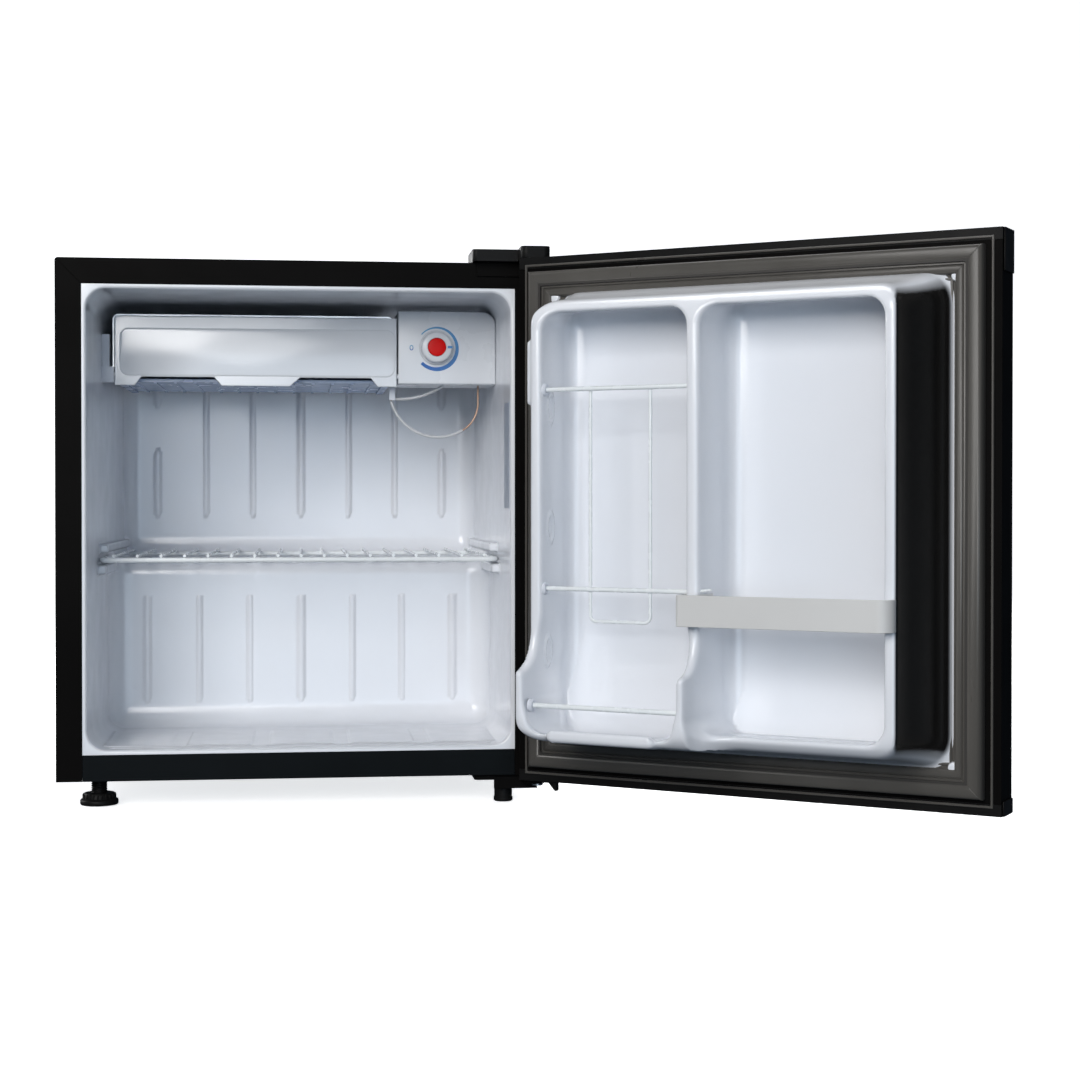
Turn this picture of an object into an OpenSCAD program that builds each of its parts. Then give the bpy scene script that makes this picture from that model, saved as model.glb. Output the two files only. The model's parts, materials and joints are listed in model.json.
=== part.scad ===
// Compact mini fridge, shown with its door swung open.
// Millimetres. X runs to the right, Y to the back, Z up. Helpers work in cabinet
// coordinates: X = 0 on the cabinet's middle, Y = 0 on its front face and Z = 0 on its
// underside. placed() then moves everything to the row's origin on the floor.

/* [Cabinet] */
// outside width of the cabinet
cab_w = 445; // [440:1:450]
// outside height of the cabinet, without its feet
cab_h = 479; // [470:1:490]
// depth of the cabinet from front face to back panel
cab_d = 415; // [405:1:430]
// thickness of the folded steel sheets
sheet = 1; // [0.8:0.1:1.2]
// width of the folded front flange
flange_w = 23.7; // [22:0.1:25]
// height of the feet under the cabinet
foot_h = 25; // [20:1:30]

/* [Liner] */
// wall of the moulded inner liner
liner_t = 1.6; // [1.2:0.1:2]
// width of the white rim that shows inside the flange
rim_w = 4; // [3:0.5:5]
// corner radius of the opening
liner_r = 18; // [12:1:24]
// depth of the lower compartment, in front of the compressor
low_d = 200; // [190:1:210]
// depth of the upper compartment
up_d = 352; // [330:1:360]
// height of the step that covers the compressor
step_z = 195; // [185:1:200]
// spacing of the ribs on the back walls
rib_pitch = 51.7; // [48:0.1:54]

/* [Door] */
// how far the door stands open in the stored pose
door_open = 144.5; // [120:0.5:160]
// distance from the cabinet's front face to the door's inner face
gasket_gap = 12; // [10:1:14]
// thickness of the door without its gasket
door_t = 38; // [34:1:42]
// gap under the closed door, above the cabinet's underside
door_low = 2; // [1:0.5:4]
// height of the door
door_h = 476; // [470:1:480]
// distance of the hinge pins from the cabinet's right side
pin_in = 6.7; // [6:0.1:9]
// distance of the hinge pins in front of the cabinet
pin_out = 33.5; // [30:0.5:36]
// reach of the door shelves into the cabinet
tub_reach = 70; // [60:1:75]
// reach of the can trough at the foot of the left column
trough_reach = 97; // [85:1:100]

/* [Fittings] */
// front plane of the freezer flap and of the thermostat box
front_y = 125; // [115:1:135]
// height of the freezer flap's hinge pins
flap_pin_z = 380.3; // [378:0.1:383]
// height of the wire shelf's frame
shelf_z = 199.8; // [199:0.1:203]
// radius of the wire shelf's frame
shelf_r = 2.5; // [2:0.1:3]
// radius of the thermostat knob
knob_r = 17; // [14:0.5:20]
// running clearance of pins in their holes
run = 0.06; // [0.03:0.01:0.09]

/* [Hidden] */
$fn = 48;
e = 0.1;
half = cab_w / 2;
in_half = half - flange_w;
open_half = in_half - rim_w;
open_lo = flange_w + 0.6 + rim_w;
open_hi = cab_h - flange_w - rim_w;
bay_y = 244;
bay_z = 158;
deck_t = 2;
pin_x = half - pin_in;
pin_y = -pin_out;
pin_r = 3;
door_in = -gasket_gap;
door_out = -gasket_gap - door_t;
door_top = door_low + door_h;
cap_h = 10;
corner_r = 8;
lip_w = 14;
gasket_in = 14.4;
gasket_w = 22;
grip = 1.5;
wall_t = 12;
tub_lo = 50;
tub_hi = 431;
left_x = half - 51;
div_x = half - 202;
right_x = half - 390;
rod_y = 60;
screw_h = 1.6;
// The row's origin lies under the middle of the box round the open fridge.
far_x = pin_x - (cab_w - pin_in - corner_r) * cos(door_open)
  - (door_out + corner_r + pin_out) * sin(door_open) + corner_r;
near_y = pin_y + (right_x - pin_x) * sin(door_open) + (tub_reach + pin_out) * cos(door_open);
ox = (far_x - half) / 2;
oy = (cab_d + screw_h + near_y) / 2;

// Moves cabinet coordinates to the row's origin.
module placed() {
  translate([-ox, -oy, foot_h]) children();
}

// Moves a closed door's coordinates to the open door.
module on_door() {
  placed() translate([pin_x, pin_y, 0]) rotate([0, 0, door_open])
    translate([-pin_x, -pin_y, 0]) children();
}

// A block between two corners.
module block(x0, x1, y0, y1, z0, z1) {
  translate([x0, y0, z0]) cube([x1 - x0, y1 - y0, z1 - z0]);
}

// A shape drawn in X and Z, made solid from y0 to y1.
module slab_y(y0, y1) {
  translate([0, y1, 0]) rotate([90, 0, 0]) linear_extrude(y1 - y0) children();
}

// A shape drawn in Y and Z, made solid from x0 to x1.
module slab_x(x0, x1) {
  translate([x0, 0, 0]) rotate([90, 0, 90]) linear_extrude(x1 - x0) children();
}

// A shape drawn in X and Y, made solid from z0 to z1.
module slab_z(z0, z1) {
  translate([0, 0, z0]) linear_extrude(z1 - z0) children();
}

// A flat rectangle with round corners.
module soft(x0, x1, y0, y1, r) {
  translate([x0 + r, y0]) square([x1 - x0 - 2 * r, y1 - y0]);
  translate([x0, y0 + r]) square([x1 - x0, y1 - y0 - 2 * r]);
  for (x = [x0 + r, x1 - r], y = [y0 + r, y1 - r]) translate([x, y]) circle(r);
}

// A rod along X, Y or Z.
module rod_x(x0, x1, y, z, r) {
  translate([x0, y, z]) rotate([0, 90, 0]) cylinder(h = x1 - x0, r = r);
}
module rod_y(x, y0, y1, z, r) {
  translate([x, y1, z]) rotate([90, 0, 0]) cylinder(h = y1 - y0, r = r);
}
module rod_z(x, y, z0, z1, r) {
  translate([x, y, z0]) cylinder(h = z1 - z0, r = r);
}

// Part of a bent tube in the X and Z plane, about a centre, from angle a0 over sweep a.
module bend_y(x, y, z, bend_r, r, a0, a) {
  translate([x, y, z]) rotate([90, 0, 0]) rotate([0, 0, a0])
    rotate_extrude(angle = a) translate([bend_r, 0]) circle(r);
}

// Part of a bent tube in the X and Y plane.
module bend_z(x, y, z, bend_r, r, a0, a) {
  translate([x, y, z]) rotate([0, 0, a0])
    rotate_extrude(angle = a) translate([bend_r, 0]) circle(r);
}

// The black steel wrap over the top and both sides, with its front flange folded in.
module outer_shell() {
  fold_r = 3;
  color([0.05, 0.05, 0.05]) placed() {
    difference() {
      slab_y(0, cab_d) shell_outline(0, fold_r);
      slab_y(sheet, cab_d + 1) shell_outline(sheet, fold_r - sheet);
      block(-in_half, in_half, -1, sheet + 1, -1, cab_h - flange_w);
      plug_holes();
    }
  }
}

// The wrap's outline seen from the front, open at its foot.
module shell_outline(inset, r) {
  w = half - inset;
  h = cab_h - inset;
  low = inset > 0 ? -1 : 0;
  translate([-w, low]) square([2 * w, h - low - r]);
  translate([-w + r, low]) square([2 * w - 2 * r, h - low]);
  for (x = [-w + r, w - r]) translate([x, h - r]) circle(r);
}

// Screw holes of a left-hand hinge, which the plugs close.
module plug_holes() {
  for (x = [-half + 20, -half + 44]) rod_z(x, 22, cab_h - 3, cab_h + 1, 3.5);
}

module hole_plugs() {
  color([0.06, 0.06, 0.06]) placed() for (x = [-half + 20, -half + 44]) {
    rod_z(x, 22, cab_h, cab_h + 1.2, 5.5);
    rod_z(x, 22, cab_h - sheet, cab_h, 3.4);
  }
}

// The dark rail under the opening.
module base_rail() {
  lip = 20;
  color([0.05, 0.06, 0.07]) placed() {
    block(-in_half + e, in_half - e, 0, sheet, 0, flange_w + 0.6);
    block(-in_half + e, in_half - e, sheet, lip, 0, sheet);
    block(-in_half + e, in_half - e, sheet, lip - 8, flange_w - 0.4, flange_w + 0.6);
  }
}

module base_pan() {
  color([0.55, 0.56, 0.57]) placed() difference() {
    block(-half + sheet + e, half - sheet - e, 20 + e, bay_y - e, 0, sheet);
    rod_z(stud_x, stud_y, -1, sheet + 1, stud_r + 0.2);
  }
}

module back_panel() {
  color([0.07, 0.07, 0.07]) placed() difference() {
    block(-half + sheet + e, half - sheet - e, cab_d - sheet, cab_d,
      bay_z + e, cab_h - sheet - e);
    rod_y(plug_x, cab_d - 5, cab_d + 5, plug_z, plug_r + e);
  }
}
plug_x = 60;
plug_z = 330;
plug_r = 12;

// Plug in the hole through which the foam was poured.
module foam_plug() {
  color([0.12, 0.12, 0.12]) placed() union() {
    rod_y(plug_x, cab_d - sheet, cab_d, plug_z, plug_r);
    rod_y(plug_x, cab_d, cab_d + 1.4, plug_z, plug_r + 4);
  }
}

// The folded sheet that walls off the compressor bay.
module bay_panel() {
  color([0.55, 0.56, 0.57]) placed() difference() {
    union() {
      block(-half + sheet + e, half - sheet - e, bay_y, bay_y + sheet, deck_t + e, bay_z);
      block(-half + sheet + e, half - sheet - e, bay_y + sheet, cab_d, bay_z - sheet, bay_z);
    }
    rod_z(suction_x, suction_y, bay_z - 3, bay_z + 1, 4.2);
  }
}

module compressor_deck() {
  lip = 14;
  color([0.08, 0.08, 0.08]) placed() difference() {
    union() {
      block(-half + sheet + e, half - sheet - e, bay_y, cab_d, 0, deck_t);
      block(-half + sheet + e, half - sheet - e, cab_d - deck_t, cab_d, deck_t, lip);
    }
    for (x = [85:28:197]) slab_z(-1, deck_t + 1) soft(x - 7, x + 7, 290, 330, 4);
  }
}

// Foam between the shell and the liner, rounded off behind the edge of the step.
module insulation() {
  nose = 14;
  color([0.93, 0.86, 0.66]) placed() difference() {
    union() {
      block(-half + sheet + e, half - sheet - e, sheet + e, bay_y - e,
        sheet + e, cab_h - sheet - 3);
      block(-half + sheet + e, half - sheet - e, bay_y - e, cab_d - sheet - e,
        bay_z + e, cab_h - sheet - 3);
    }
    liner_outside(e);
    slab_x(-open_half - liner_t, open_half + liner_t)
      polygon([[low_d, step_z + 1], [low_d, step_z - nose], [low_d + nose, step_z + 1]]);
    block(-in_half - 1, in_half + 1, 0, 20 + e, 0, flange_w + 1);
    block(-in_half, in_half, 0, 4, 0, cab_h - flange_w + e);
    rod_z(stud_x, stud_y, 0, 18, stud_r + 1);
    rod_z(suction_x, suction_y, bay_z - 1, suction_z, 4.2);
    rod_y(suction_x, up_d, suction_y, suction_z, 4.2);
    translate([suction_x, suction_y, suction_z]) sphere(4.2);
  }
}

// The liner's outside, grown by g so that foam can lie against it.
module liner_outside(g) {
  liner_space(0, liner_t + g);
}

// The liner's inside space.
module liner_inside() {
  liner_space(-2, 0);
}

// The space in front of the two back walls, grown by t. Its upper part has a square foot.
module liner_space(y0, t) {
  slab_y(y0, low_d + t)
    soft(-open_half - t, open_half + t, open_lo - t, open_hi + t, liner_r + t);
  slab_y(y0, up_d + t) union() {
    soft(-open_half - t, open_half + t, step_z - t, open_hi + t, liner_r + t);
    translate([-open_half - t, step_z - t]) square([2 * (open_half + t), 2 * liner_r]);
  }
}

// Upright stiffening ribs on a back wall.
module ribs(y, z0, z1) {
  rib_w = 6;
  rise = 1.2;
  for (i = [-3:3]) slab_y(y - rise, y)
    soft(i * rib_pitch - rib_w / 2, i * rib_pitch + rib_w / 2, z0, z1, rib_w / 2 - 0.01);
}

module inner_liner() {
  ledge_in = 11;
  ledge_top = shelf_z - shelf_r - 0.2;
  color([0.86, 0.89, 0.93]) placed() difference() {
    union() {
      difference() {
        union() {
          liner_outside(0);
          slab_y(0.5, 0.5 + liner_t)
            soft(-in_half + e, in_half - e, open_lo - rim_w + e, open_hi + rim_w - e, 4);
        }
        liner_inside();
        block(-half, half, -3, 0.5, 0, cab_h);
      }
      ribs(low_d, 62, 160);
      ribs(up_d, 240, 380);
      for (s = [-1, 1]) {
        ledge(s, ledge_in, 70, low_d + liner_t / 2, shelf_z - shelf_r - 11, ledge_top);
        ledge(s, ledge_in, low_d - 20, up_d - 6, step_z - liner_t / 2, ledge_top);
        ledge(s, ledge_in, 86, up_d - 6, shelf_z + 7, shelf_z + 14);
      }
    }
    rod_y(suction_x, up_d - 3, up_d + 3, suction_z, 4.2);
  }
}

// A shelf ledge on the left (s = -1) or right (s = 1) wall.
module ledge(s, depth, y0, y1, z0, z1) {
  x = open_half * s;
  slab_z(z0, z1) intersection() {
    soft(min(x, x - s * depth) - (s < 0 ? 0.5 : 0), max(x, x - s * depth) + (s > 0 ? 0.5 : 0),
      y0, y1, 5);
    translate([-open_half - 0.5, y0]) square([2 * open_half + 1, y1 - y0]);
  }
}

module liner_label() {
  color([0.8, 0.82, 0.84]) placed()
    block(open_half - 0.3, open_half, 10, 48, 250, 350);
}

// Compressor bay
comp_x = -20;
comp_y = 330;
comp_r = 58;
comp_base = 22;
suction_x = -120;
suction_y = 398;
suction_end = 98;
drier_x = -150;
drier_y = 310;
drier_top = 138;
suction_z = 410;

// The sealed compressor, with its welded mounting plate and terminal collar.
module compressor() {
  belly = 70;
  dome = 24;
  plate_w = 84;
  plate_d = 56;
  color([0.04, 0.04, 0.04]) placed() difference() {
    union() {
      translate([comp_x, comp_y, comp_base]) {
        translate([0, 0, dome]) cylinder(h = belly, r = comp_r);
        for (z = [dome, dome + belly]) translate([0, 0, z]) rotate_extrude() intersection() {
          translate([comp_r - dome, 0]) circle(dome);
          translate([0, -dome]) square([comp_r, 2 * dome]);
        }
        cylinder(h = 2 * dome + belly, r = comp_r - dome);
        translate([0, 0, dome + belly / 2 - 2]) cylinder(h = 4, r = comp_r + 3);
        translate([comp_r - 6, 0, dome + 30]) rotate([0, 90, 0]) cylinder(h = 10, r = 20);
      }
      slab_z(comp_base - 3, comp_base)
        soft(comp_x - plate_w, comp_x + plate_w, comp_y - plate_d, comp_y + plate_d, 10);
    }
    grommet_spots() cylinder(h = 60, r = 6.1, center = true);
  }
}

// Puts its children at the four compressor mounts.
module grommet_spots() {
  for (sx = [-1, 1], sy = [-1, 1]) translate([comp_x + sx * 70, comp_y + sy * 42, 0]) children();
}

module grommets() {
  color([0.03, 0.03, 0.03]) placed() grommet_spots() {
    translate([0, 0, deck_t]) cylinder(h = comp_base - 3 - deck_t, r = 10);
    translate([0, 0, comp_base - 3]) cylinder(h = 3, r = 6);
    translate([0, 0, comp_base]) cylinder(h = 4, r = 9);
  }
}

module start_relay() {
  color([0.1, 0.1, 0.1]) placed()
    slab_z(comp_base + 28, comp_base + 80)
      soft(comp_x + comp_r + 4 + e, comp_x + comp_r + 38, comp_y - 28, comp_y + 28, 6);
}

// The capped inlet for the mains lead, in the deck's rear lip.
module mains_inlet() {
  x = 150;
  color([0.08, 0.08, 0.08]) placed() difference() {
    union() {
      rod_y(x, cab_d - deck_t - 12, cab_d - deck_t, 26, 9);
      slab_y(cab_d - deck_t - 3, cab_d - deck_t) soft(x - 14, x + 14, deck_t, 40, 4);
    }
    rod_y(x, cab_d - deck_t - 13, cab_d + 1, 26, 4);
  }
}

module filter_drier() {
  color([0.72, 0.42, 0.27]) placed() {
    rod_z(drier_x, drier_y, 52, 122, 9.5);
    rod_z(drier_x, drier_y, 44, 130, 5);
    rod_z(drier_x, drier_y, 36, drier_top, 3);
  }
}

// Copper line from the drier over to the compressor's top.
module discharge_line() {
  r = 3;
  bend = 8;
  top = drier_top + 3;
  end_x = comp_x - 20;
  color([0.72, 0.42, 0.27]) placed() union() {
    rod_z(drier_x, drier_y, drier_top + e, top, r);
    bend_y(drier_x + bend, drier_y, top, bend, r, 90, 90);
    rod_x(drier_x + bend, end_x - bend, drier_y, top + bend, r);
    bend_y(end_x - bend, drier_y, top, bend, r, 0, 90);
    rod_z(end_x, drier_y, comp_base + 118 + e, top, r);
  }
}

// Copper line from the freezer box down through the foam to the compressor.
module suction_line() {
  r = 4;
  color([0.72, 0.42, 0.27]) placed() union() {
    rod_y(suction_x, up_d - 7.9, suction_y, suction_z, r);
    rod_z(suction_x, suction_y, suction_end, suction_z, r);
    rod_x(suction_x, comp_x, suction_y, suction_end, r);
    rod_y(comp_x, comp_y + comp_r + e, suction_y, suction_end, r);
    for (p = [[suction_x, suction_z], [suction_x, suction_end], [comp_x, suction_end]])
      translate([p[0], suction_y, p[1]]) sphere(r);
  }
}

// Pan-head screws of the deck and the back panel.
module case_screws() {
  color([0.6, 0.6, 0.6]) placed() {
    for (x = [-190, 190], y = [260, 404]) translate([x, y, -screw_h]) cylinder(h = screw_h, r = 4);
    for (x = [-205, 0, 205], z = [bay_z + 14, cab_h - 20])
      rod_y(x, cab_d, cab_d + screw_h, z, 4);
  }
}

module rear_feet() {
  color([0.05, 0.05, 0.05]) placed() for (x = [-186, 186])
    translate([x, cab_d - 45, -foot_h]) {
      cylinder(h = foot_h, r = 14);
      cylinder(h = 4, r = 17);
    }
}

module hinge_foot() {
  color([0.05, 0.05, 0.05]) placed() translate([foot_x, foot_y, -foot_h])
    cylinder(h = foot_h - 3 - e, r = 9);
}
foot_x = 188.5;
foot_y = 8;

// Bracket bolted on the cabinet's top, folded down over the flange.
module top_bracket() {
  t = 2.5;
  color([0.05, 0.05, 0.05]) placed() difference() {
    union() {
      slab_z(cab_h + e, cab_h + e + t) union() {
        soft(162, half - 2, -14, 34, 4);
        soft(pin_x - 12, pin_x + 6, pin_y - 8, 0, 5);
      }
      block(163, half - 3, -t, -e, cab_h - 12.5, cab_h + e);
    }
    rod_z(pin_x, pin_y, cab_h - 2, cab_h + 8, pin_r);
    screw_spots() cylinder(h = 20, r = 2.2, center = true);
  }
}

// Puts its children at the top bracket's screws.
module screw_spots() {
  for (x = [172, 206]) translate([x, 20, cab_h]) children();
}

module hinge_screws() {
  color([0.6, 0.6, 0.6]) placed() {
    screw_spots() translate([0, 0, e]) {
      cylinder(h = 2.5, r = 2.1);
      translate([0, 0, 2.5]) cylinder(h = 2, r = 4);
    }
    for (x = [168, 205]) translate([x, 22, -5.6]) cylinder(h = 2.5, r = 4);
  }
}

// Cover that snaps over the bracket.
module top_cover() {
  t = 1.5;
  high = 11;
  color([0.06, 0.06, 0.06]) placed() difference() {
    union() {
      slab_z(cab_h + e, cab_h + high) soft(158, half + 3, -16, 38, 4);
      slab_z(cab_h + e, cab_h + high) soft(pin_x - 16, pin_x + 11, pin_y - 12, 0, 6);
    }
    slab_z(cab_h - 1, cab_h + high - t) soft(158 + t, half + 3 - t, -16 + t, 38 - t, 3);
    slab_z(cab_h - 1, cab_h + high - t)
      soft(pin_x - 16 + t, pin_x + 11 - t, pin_y - 12 + t, 0, 5);
  }
}

module top_pin() {
  color([0.7, 0.7, 0.7]) placed()
    rod_z(pin_x, pin_y, door_top - 12, cab_h + 5, pin_r);
}

// Lower bracket, bolted under the cabinet, which also carries the right front foot.
module low_bracket() {
  t = 3;
  color([0.05, 0.05, 0.05]) placed() difference() {
    union() {
      slab_z(-t, -e) soft(160, half - 2, -10, 40, 4);
      slab_z(-t, -e) soft(pin_x - 14, pin_x + 6, pin_y - 8, 0, 5);
      block(178, half - 4, -12, -10 + e, -11, -e);
    }
    rod_z(pin_x, pin_y, -5, 1, pin_r);
  }
}

module low_pin() {
  color([0.7, 0.7, 0.7]) placed() union() {
    rod_z(pin_x, pin_y, -5, door_low + 12, pin_r);
    rod_z(pin_x, pin_y, -5, -3, pin_r + 2);
  }
}

// Freezer box and thermostat
evap_x0 = -184;
evap_x1 = 92;
evap_y0 = front_y + 19;
evap_z0 = 383.6;
evap_z1 = 441;

module evaporator() {
  t = 1.4;
  color([0.78, 0.8, 0.82]) placed() difference() {
    slab_y(evap_y0, up_d - 8) soft(evap_x0, evap_x1, evap_z0, evap_z1, 6);
    slab_y(evap_y0 - 1, up_d - 8 - t)
      soft(evap_x0 + t, evap_x1 - t, evap_z0 + t, evap_z1 - t, 6 - t);
  }
}

module evaporator_posts() {
  color([0.85, 0.86, 0.88]) placed() for (x = [-150, 60], y = [280, 335]) {
    rod_z(x, y, evap_z1, open_hi, 5);
    rod_z(x, y, evap_z1, evap_z1 + 2, 8);
  }
}

tray_x0 = -176;
tray_x1 = 84;
tray_y0 = front_y + 18.5;
tray_y1 = 322;
tray_z = 374.2;
tray_h = 8;

// Two side rails that hold the drip tray under the freezer box.
module tray_rails() {
  color([0.56, 0.64, 0.77]) placed() for (side = [0, 1]) {
    rail_x = side == 0 ? tray_x0 - 4 : tray_x1 + 1;
    ledge_x = side == 0 ? tray_x0 - 4 : tray_x1 - 3;
    block(rail_x, rail_x + 3, tray_y0 + 1, tray_y1 - 2, tray_z - 0.2, evap_z0);
    block(ledge_x, ledge_x + 7, tray_y0 + 1, tray_y1 - 2, tray_z - 1.8, tray_z - 0.2);
  }
}

// Shallow drip tray with a low front and ribs on its underside.
module drip_tray() {
  t = 1.6;
  low_front = 3;
  rib_w = 3;
  rib_h = 1.2;
  color([0.56, 0.64, 0.77]) placed() union() {
    difference() {
      slab_z(tray_z, tray_z + tray_h) soft(tray_x0, tray_x1, tray_y0, tray_y1, 5);
      slab_z(tray_z + t, tray_z + tray_h + 1)
        soft(tray_x0 + t, tray_x1 - t, tray_y0 + t, tray_y1 - t, 4);
      block(tray_x0 + 6, tray_x1 - 6, tray_y0 - 1, tray_y0 + 4,
        tray_z + low_front, tray_z + tray_h + 1);
    }
    for (x = [tray_x0 + 12:19.4:tray_x1 - 8])
      block(x, x + rib_w, tray_y0 + 4, tray_y1 - 4, tray_z - rib_h, tray_z + e);
  }
}

flap_x0 = -180.4;
flap_x1 = 94.4;
flap_z0 = 369.8;
flap_z1 = 437.7;
flap_t = 3;
flap_pin_y = front_y + 5;
flap_pin_r = 2.5;

// Outline of the flap with its two cut-outs.
module flap_outline() {
  notch_z = 378.3;
  difference() {
    soft(flap_x0, flap_x1, flap_z0, flap_z1, 1.5);
    polygon([[-161.2, flap_z0 - 1], [-161.2, flap_z0], [-154.9, notch_z], [-84.7, notch_z],
      [-77.2, flap_z0], [-77.2, flap_z0 - 1]]);
    polygon([[-10.9, flap_z0 - 1], [-10.9, flap_z0], [-0.5, notch_z], [68.8, notch_z],
      [75.8, flap_z0], [75.8, flap_z0 - 1]]);
  }
}

module freezer_flap() {
  boss = 4.4;
  color([0.9, 0.91, 0.93]) placed() union() {
    slab_y(front_y, front_y + flap_t) flap_outline();
    slab_y(front_y - 1, front_y) soft(flap_x0 + 4, flap_x1 - 4, flap_z0 + 12, flap_z1 - 10, 7);
    block(flap_x0, flap_x1, front_y + flap_t - e, front_y + 7, flap_z1 - 2, flap_z1);
    for (x = [flap_x0, flap_x1 - 8])
      rod_x(x, x + 8, flap_pin_y, flap_pin_z, boss);
    rod_x(flap_x0 - 6, flap_x0 + 1, flap_pin_y, flap_pin_z, flap_pin_r);
    rod_x(flap_x1 - 1, flap_x1 + 3.6, flap_pin_y, flap_pin_z, flap_pin_r);
  }
}

// Bracket on the liner's left wall that holds the flap's left pin.
module flap_bracket() {
  color([0.85, 0.87, 0.9]) placed() difference() {
    union() {
      block(-open_half, -181.4, front_y + 1, front_y + 17, 373, 388);
      block(-open_half, -186, front_y + 7, front_y + 17, 388, 420);
    }
    rod_x(-190, -180, flap_pin_y, flap_pin_z, flap_pin_r + run);
  }
}

box_x0 = 96;
box_x1 = 193;
box_z0 = 373;
box_z1 = 445;
box_d = 69;
knob_x = 133.7;
knob_z = 408.9;

module thermostat_box() {
  t = 2;
  color([0.88, 0.89, 0.9]) placed() difference() {
    slab_y(front_y, front_y + box_d) box_outline(0);
    slab_y(front_y + t, front_y + box_d + 1) box_outline(t);
    rod_y(knob_x, front_y - 1, front_y + t + 1, knob_z, 3.6);
    rod_x(box_x0 - 1, box_x0 + t + 1, flap_pin_y, flap_pin_z, flap_pin_r + run);
    rod_z(lead_x, loop_y, box_z0 - 1, box_z0 + t + 1, 4.5);
    rod_z(turn_x + turn_r, loop_y, box_z0 - 1, box_z0 + t + 1, 2.2);
  }
}

// Outline of the thermostat box, with its big top right corner.
module box_outline(inset) {
  r = 13 - inset;
  x1 = box_x1 - inset;
  z1 = box_z1 - inset;
  translate([box_x0 + inset, box_z0 + inset])
    square([x1 - box_x0 - inset, z1 - box_z0 - inset - r]);
  translate([box_x0 + inset, box_z0 + inset])
    square([x1 - box_x0 - inset - r, z1 - box_z0 - inset]);
  translate([x1 - r, z1 - r]) circle(r);
}

module thermostat_body() {
  color([0.7, 0.71, 0.72]) placed() difference() {
    union() {
      block(knob_x - 18, knob_x + 18, front_y + 2 + e, front_y + 22, knob_z - 14, knob_z + 16);
      block(knob_x - 10, knob_x + 46, front_y + 22, front_y + 34, knob_z - 8, knob_z + 8);
    }
    rod_y(knob_x, front_y, front_y + 14, knob_z, 3 + run);
  }
}

// The printed arc and zero on the box.
module dial_print() {
  inner = 19.2;
  seg = 9;
  color([0.05, 0.36, 0.67]) placed() {
    for (i = [0:25])
      slab_y(front_y - 0.25, front_y) translate([knob_x, knob_z]) rotate([0, 0, 138 - i * seg])
        arc_piece(inner, inner + 1.2 + i * 0.12, seg - 2);
    slab_y(front_y - 0.25, front_y) translate([knob_x - 22, knob_z]) difference() {
      soft(-1.9, 1.9, -2.7, 2.7, 1.85);
      soft(-1.1, 1.1, -1.9, 1.9, 1.05);
    }
  }
}

// One flat piece of a ring, starting at angle zero and running clockwise.
module arc_piece(r0, r1, a) {
  difference() {
    circle(r1);
    circle(r0);
    translate([-2 * r1, 0]) square([4 * r1, 2 * r1]);
    rotate([0, 0, -a]) translate([-2 * r1, -2 * r1]) square([4 * r1, 2 * r1]);
  }
}

module spindle() {
  color([0.75, 0.76, 0.78]) placed()
    rod_y(knob_x, front_y - 7, front_y + 13, knob_z, 3);
}

module knob() {
  h = 12;
  color([0.88, 0.89, 0.9]) placed() difference() {
    union() {
      rod_y(knob_x, front_y - h, front_y - 3, knob_z, knob_r - 1);
      rod_y(knob_x, front_y - 3, front_y - 0.6, knob_z, knob_r);
    }
    rod_y(knob_x, front_y - h - 1, front_y - h + 4, knob_z, 9.1);
    rod_y(knob_x, front_y - 7, front_y, knob_z, 3);
    block(knob_x + 10.5, knob_x + 15.5, front_y - h - 1, front_y - h + 0.4,
      knob_z - 1.3, knob_z + 1.3);
  }
}

module knob_cap() {
  color([0.8, 0, 0]) placed()
    rod_y(knob_x, front_y - 12.6, front_y - 8, knob_z, 9);
}

module knob_pointer() {
  color([0.05, 0.36, 0.67]) placed()
    block(knob_x + 10.6, knob_x + 15.4, front_y - 12.2, front_y - 11.6,
      knob_z - 1.2, knob_z + 1.2);
}

// Thermostat leads, in a plane behind the box's front.
loop_x = 137;
loop_z = 369.7;
loop_y = front_y + 26;
loop_r = 48.7;
loop_end = 301;
turn_r = 32;
turn_x = loop_x + (loop_r - turn_r) * cos(loop_end);
turn_z = loop_z + (loop_r - turn_r) * sin(loop_end);
clip_x = 90.2;
sleeve_r = 1.4;
lead_r = 82;
lead_z = 440.9;
lead_x = 145;

// Grey sleeves over both leads.
module lead_sleeves() {
  color([0.7, 0.7, 0.71]) placed() {
    bend_y(loop_x, loop_y, loop_z, loop_r, sleeve_r, 195.5, loop_end - 195.5);
    bend_y(97, loop_y, lead_z, lead_r, sleeve_r, 268.2, 37.8);
    rod_z(97 + lead_r * cos(306), loop_y, lead_z + lead_r * sin(306), knob_z - 8 - e, sleeve_r);
  }
}

// Copper capillary from the thermostat to the freezer box's underside.
module capillary() {
  r = 0.9;
  z = evap_z0 - r;
  color([0.6, 0.36, 0.22]) placed() {
    bend_y(turn_x, loop_y, turn_z, turn_r, r, loop_end + 0.3, 359.7 - loop_end);
    rod_z(turn_x + turn_r, loop_y, turn_z, knob_z - 8 - e, r);
    rod_z(clip_x, loop_y, 357.5, z, r);
    rod_y(clip_x, loop_y, 300, z, r);
    translate([clip_x, loop_y, z]) sphere(r);
  }
}

module bulb_clip() {
  color([0.9, 0.91, 0.92]) placed() difference() {
    union() {
      block(88.1, 93.8, loop_y - 4, loop_y + 4, 358, 372);
      block(88.1, 91.8, loop_y - 4, loop_y + 4, 372, evap_z0);
    }
    rod_z(clip_x, loop_y, 350, 390, 1);
    block(clip_x - 1, clip_x + 1, loop_y, loop_y + 5, evap_z0 - 3, evap_z0 + 1);
  }
}

// Door. These modules are drawn for the closed door.

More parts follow.
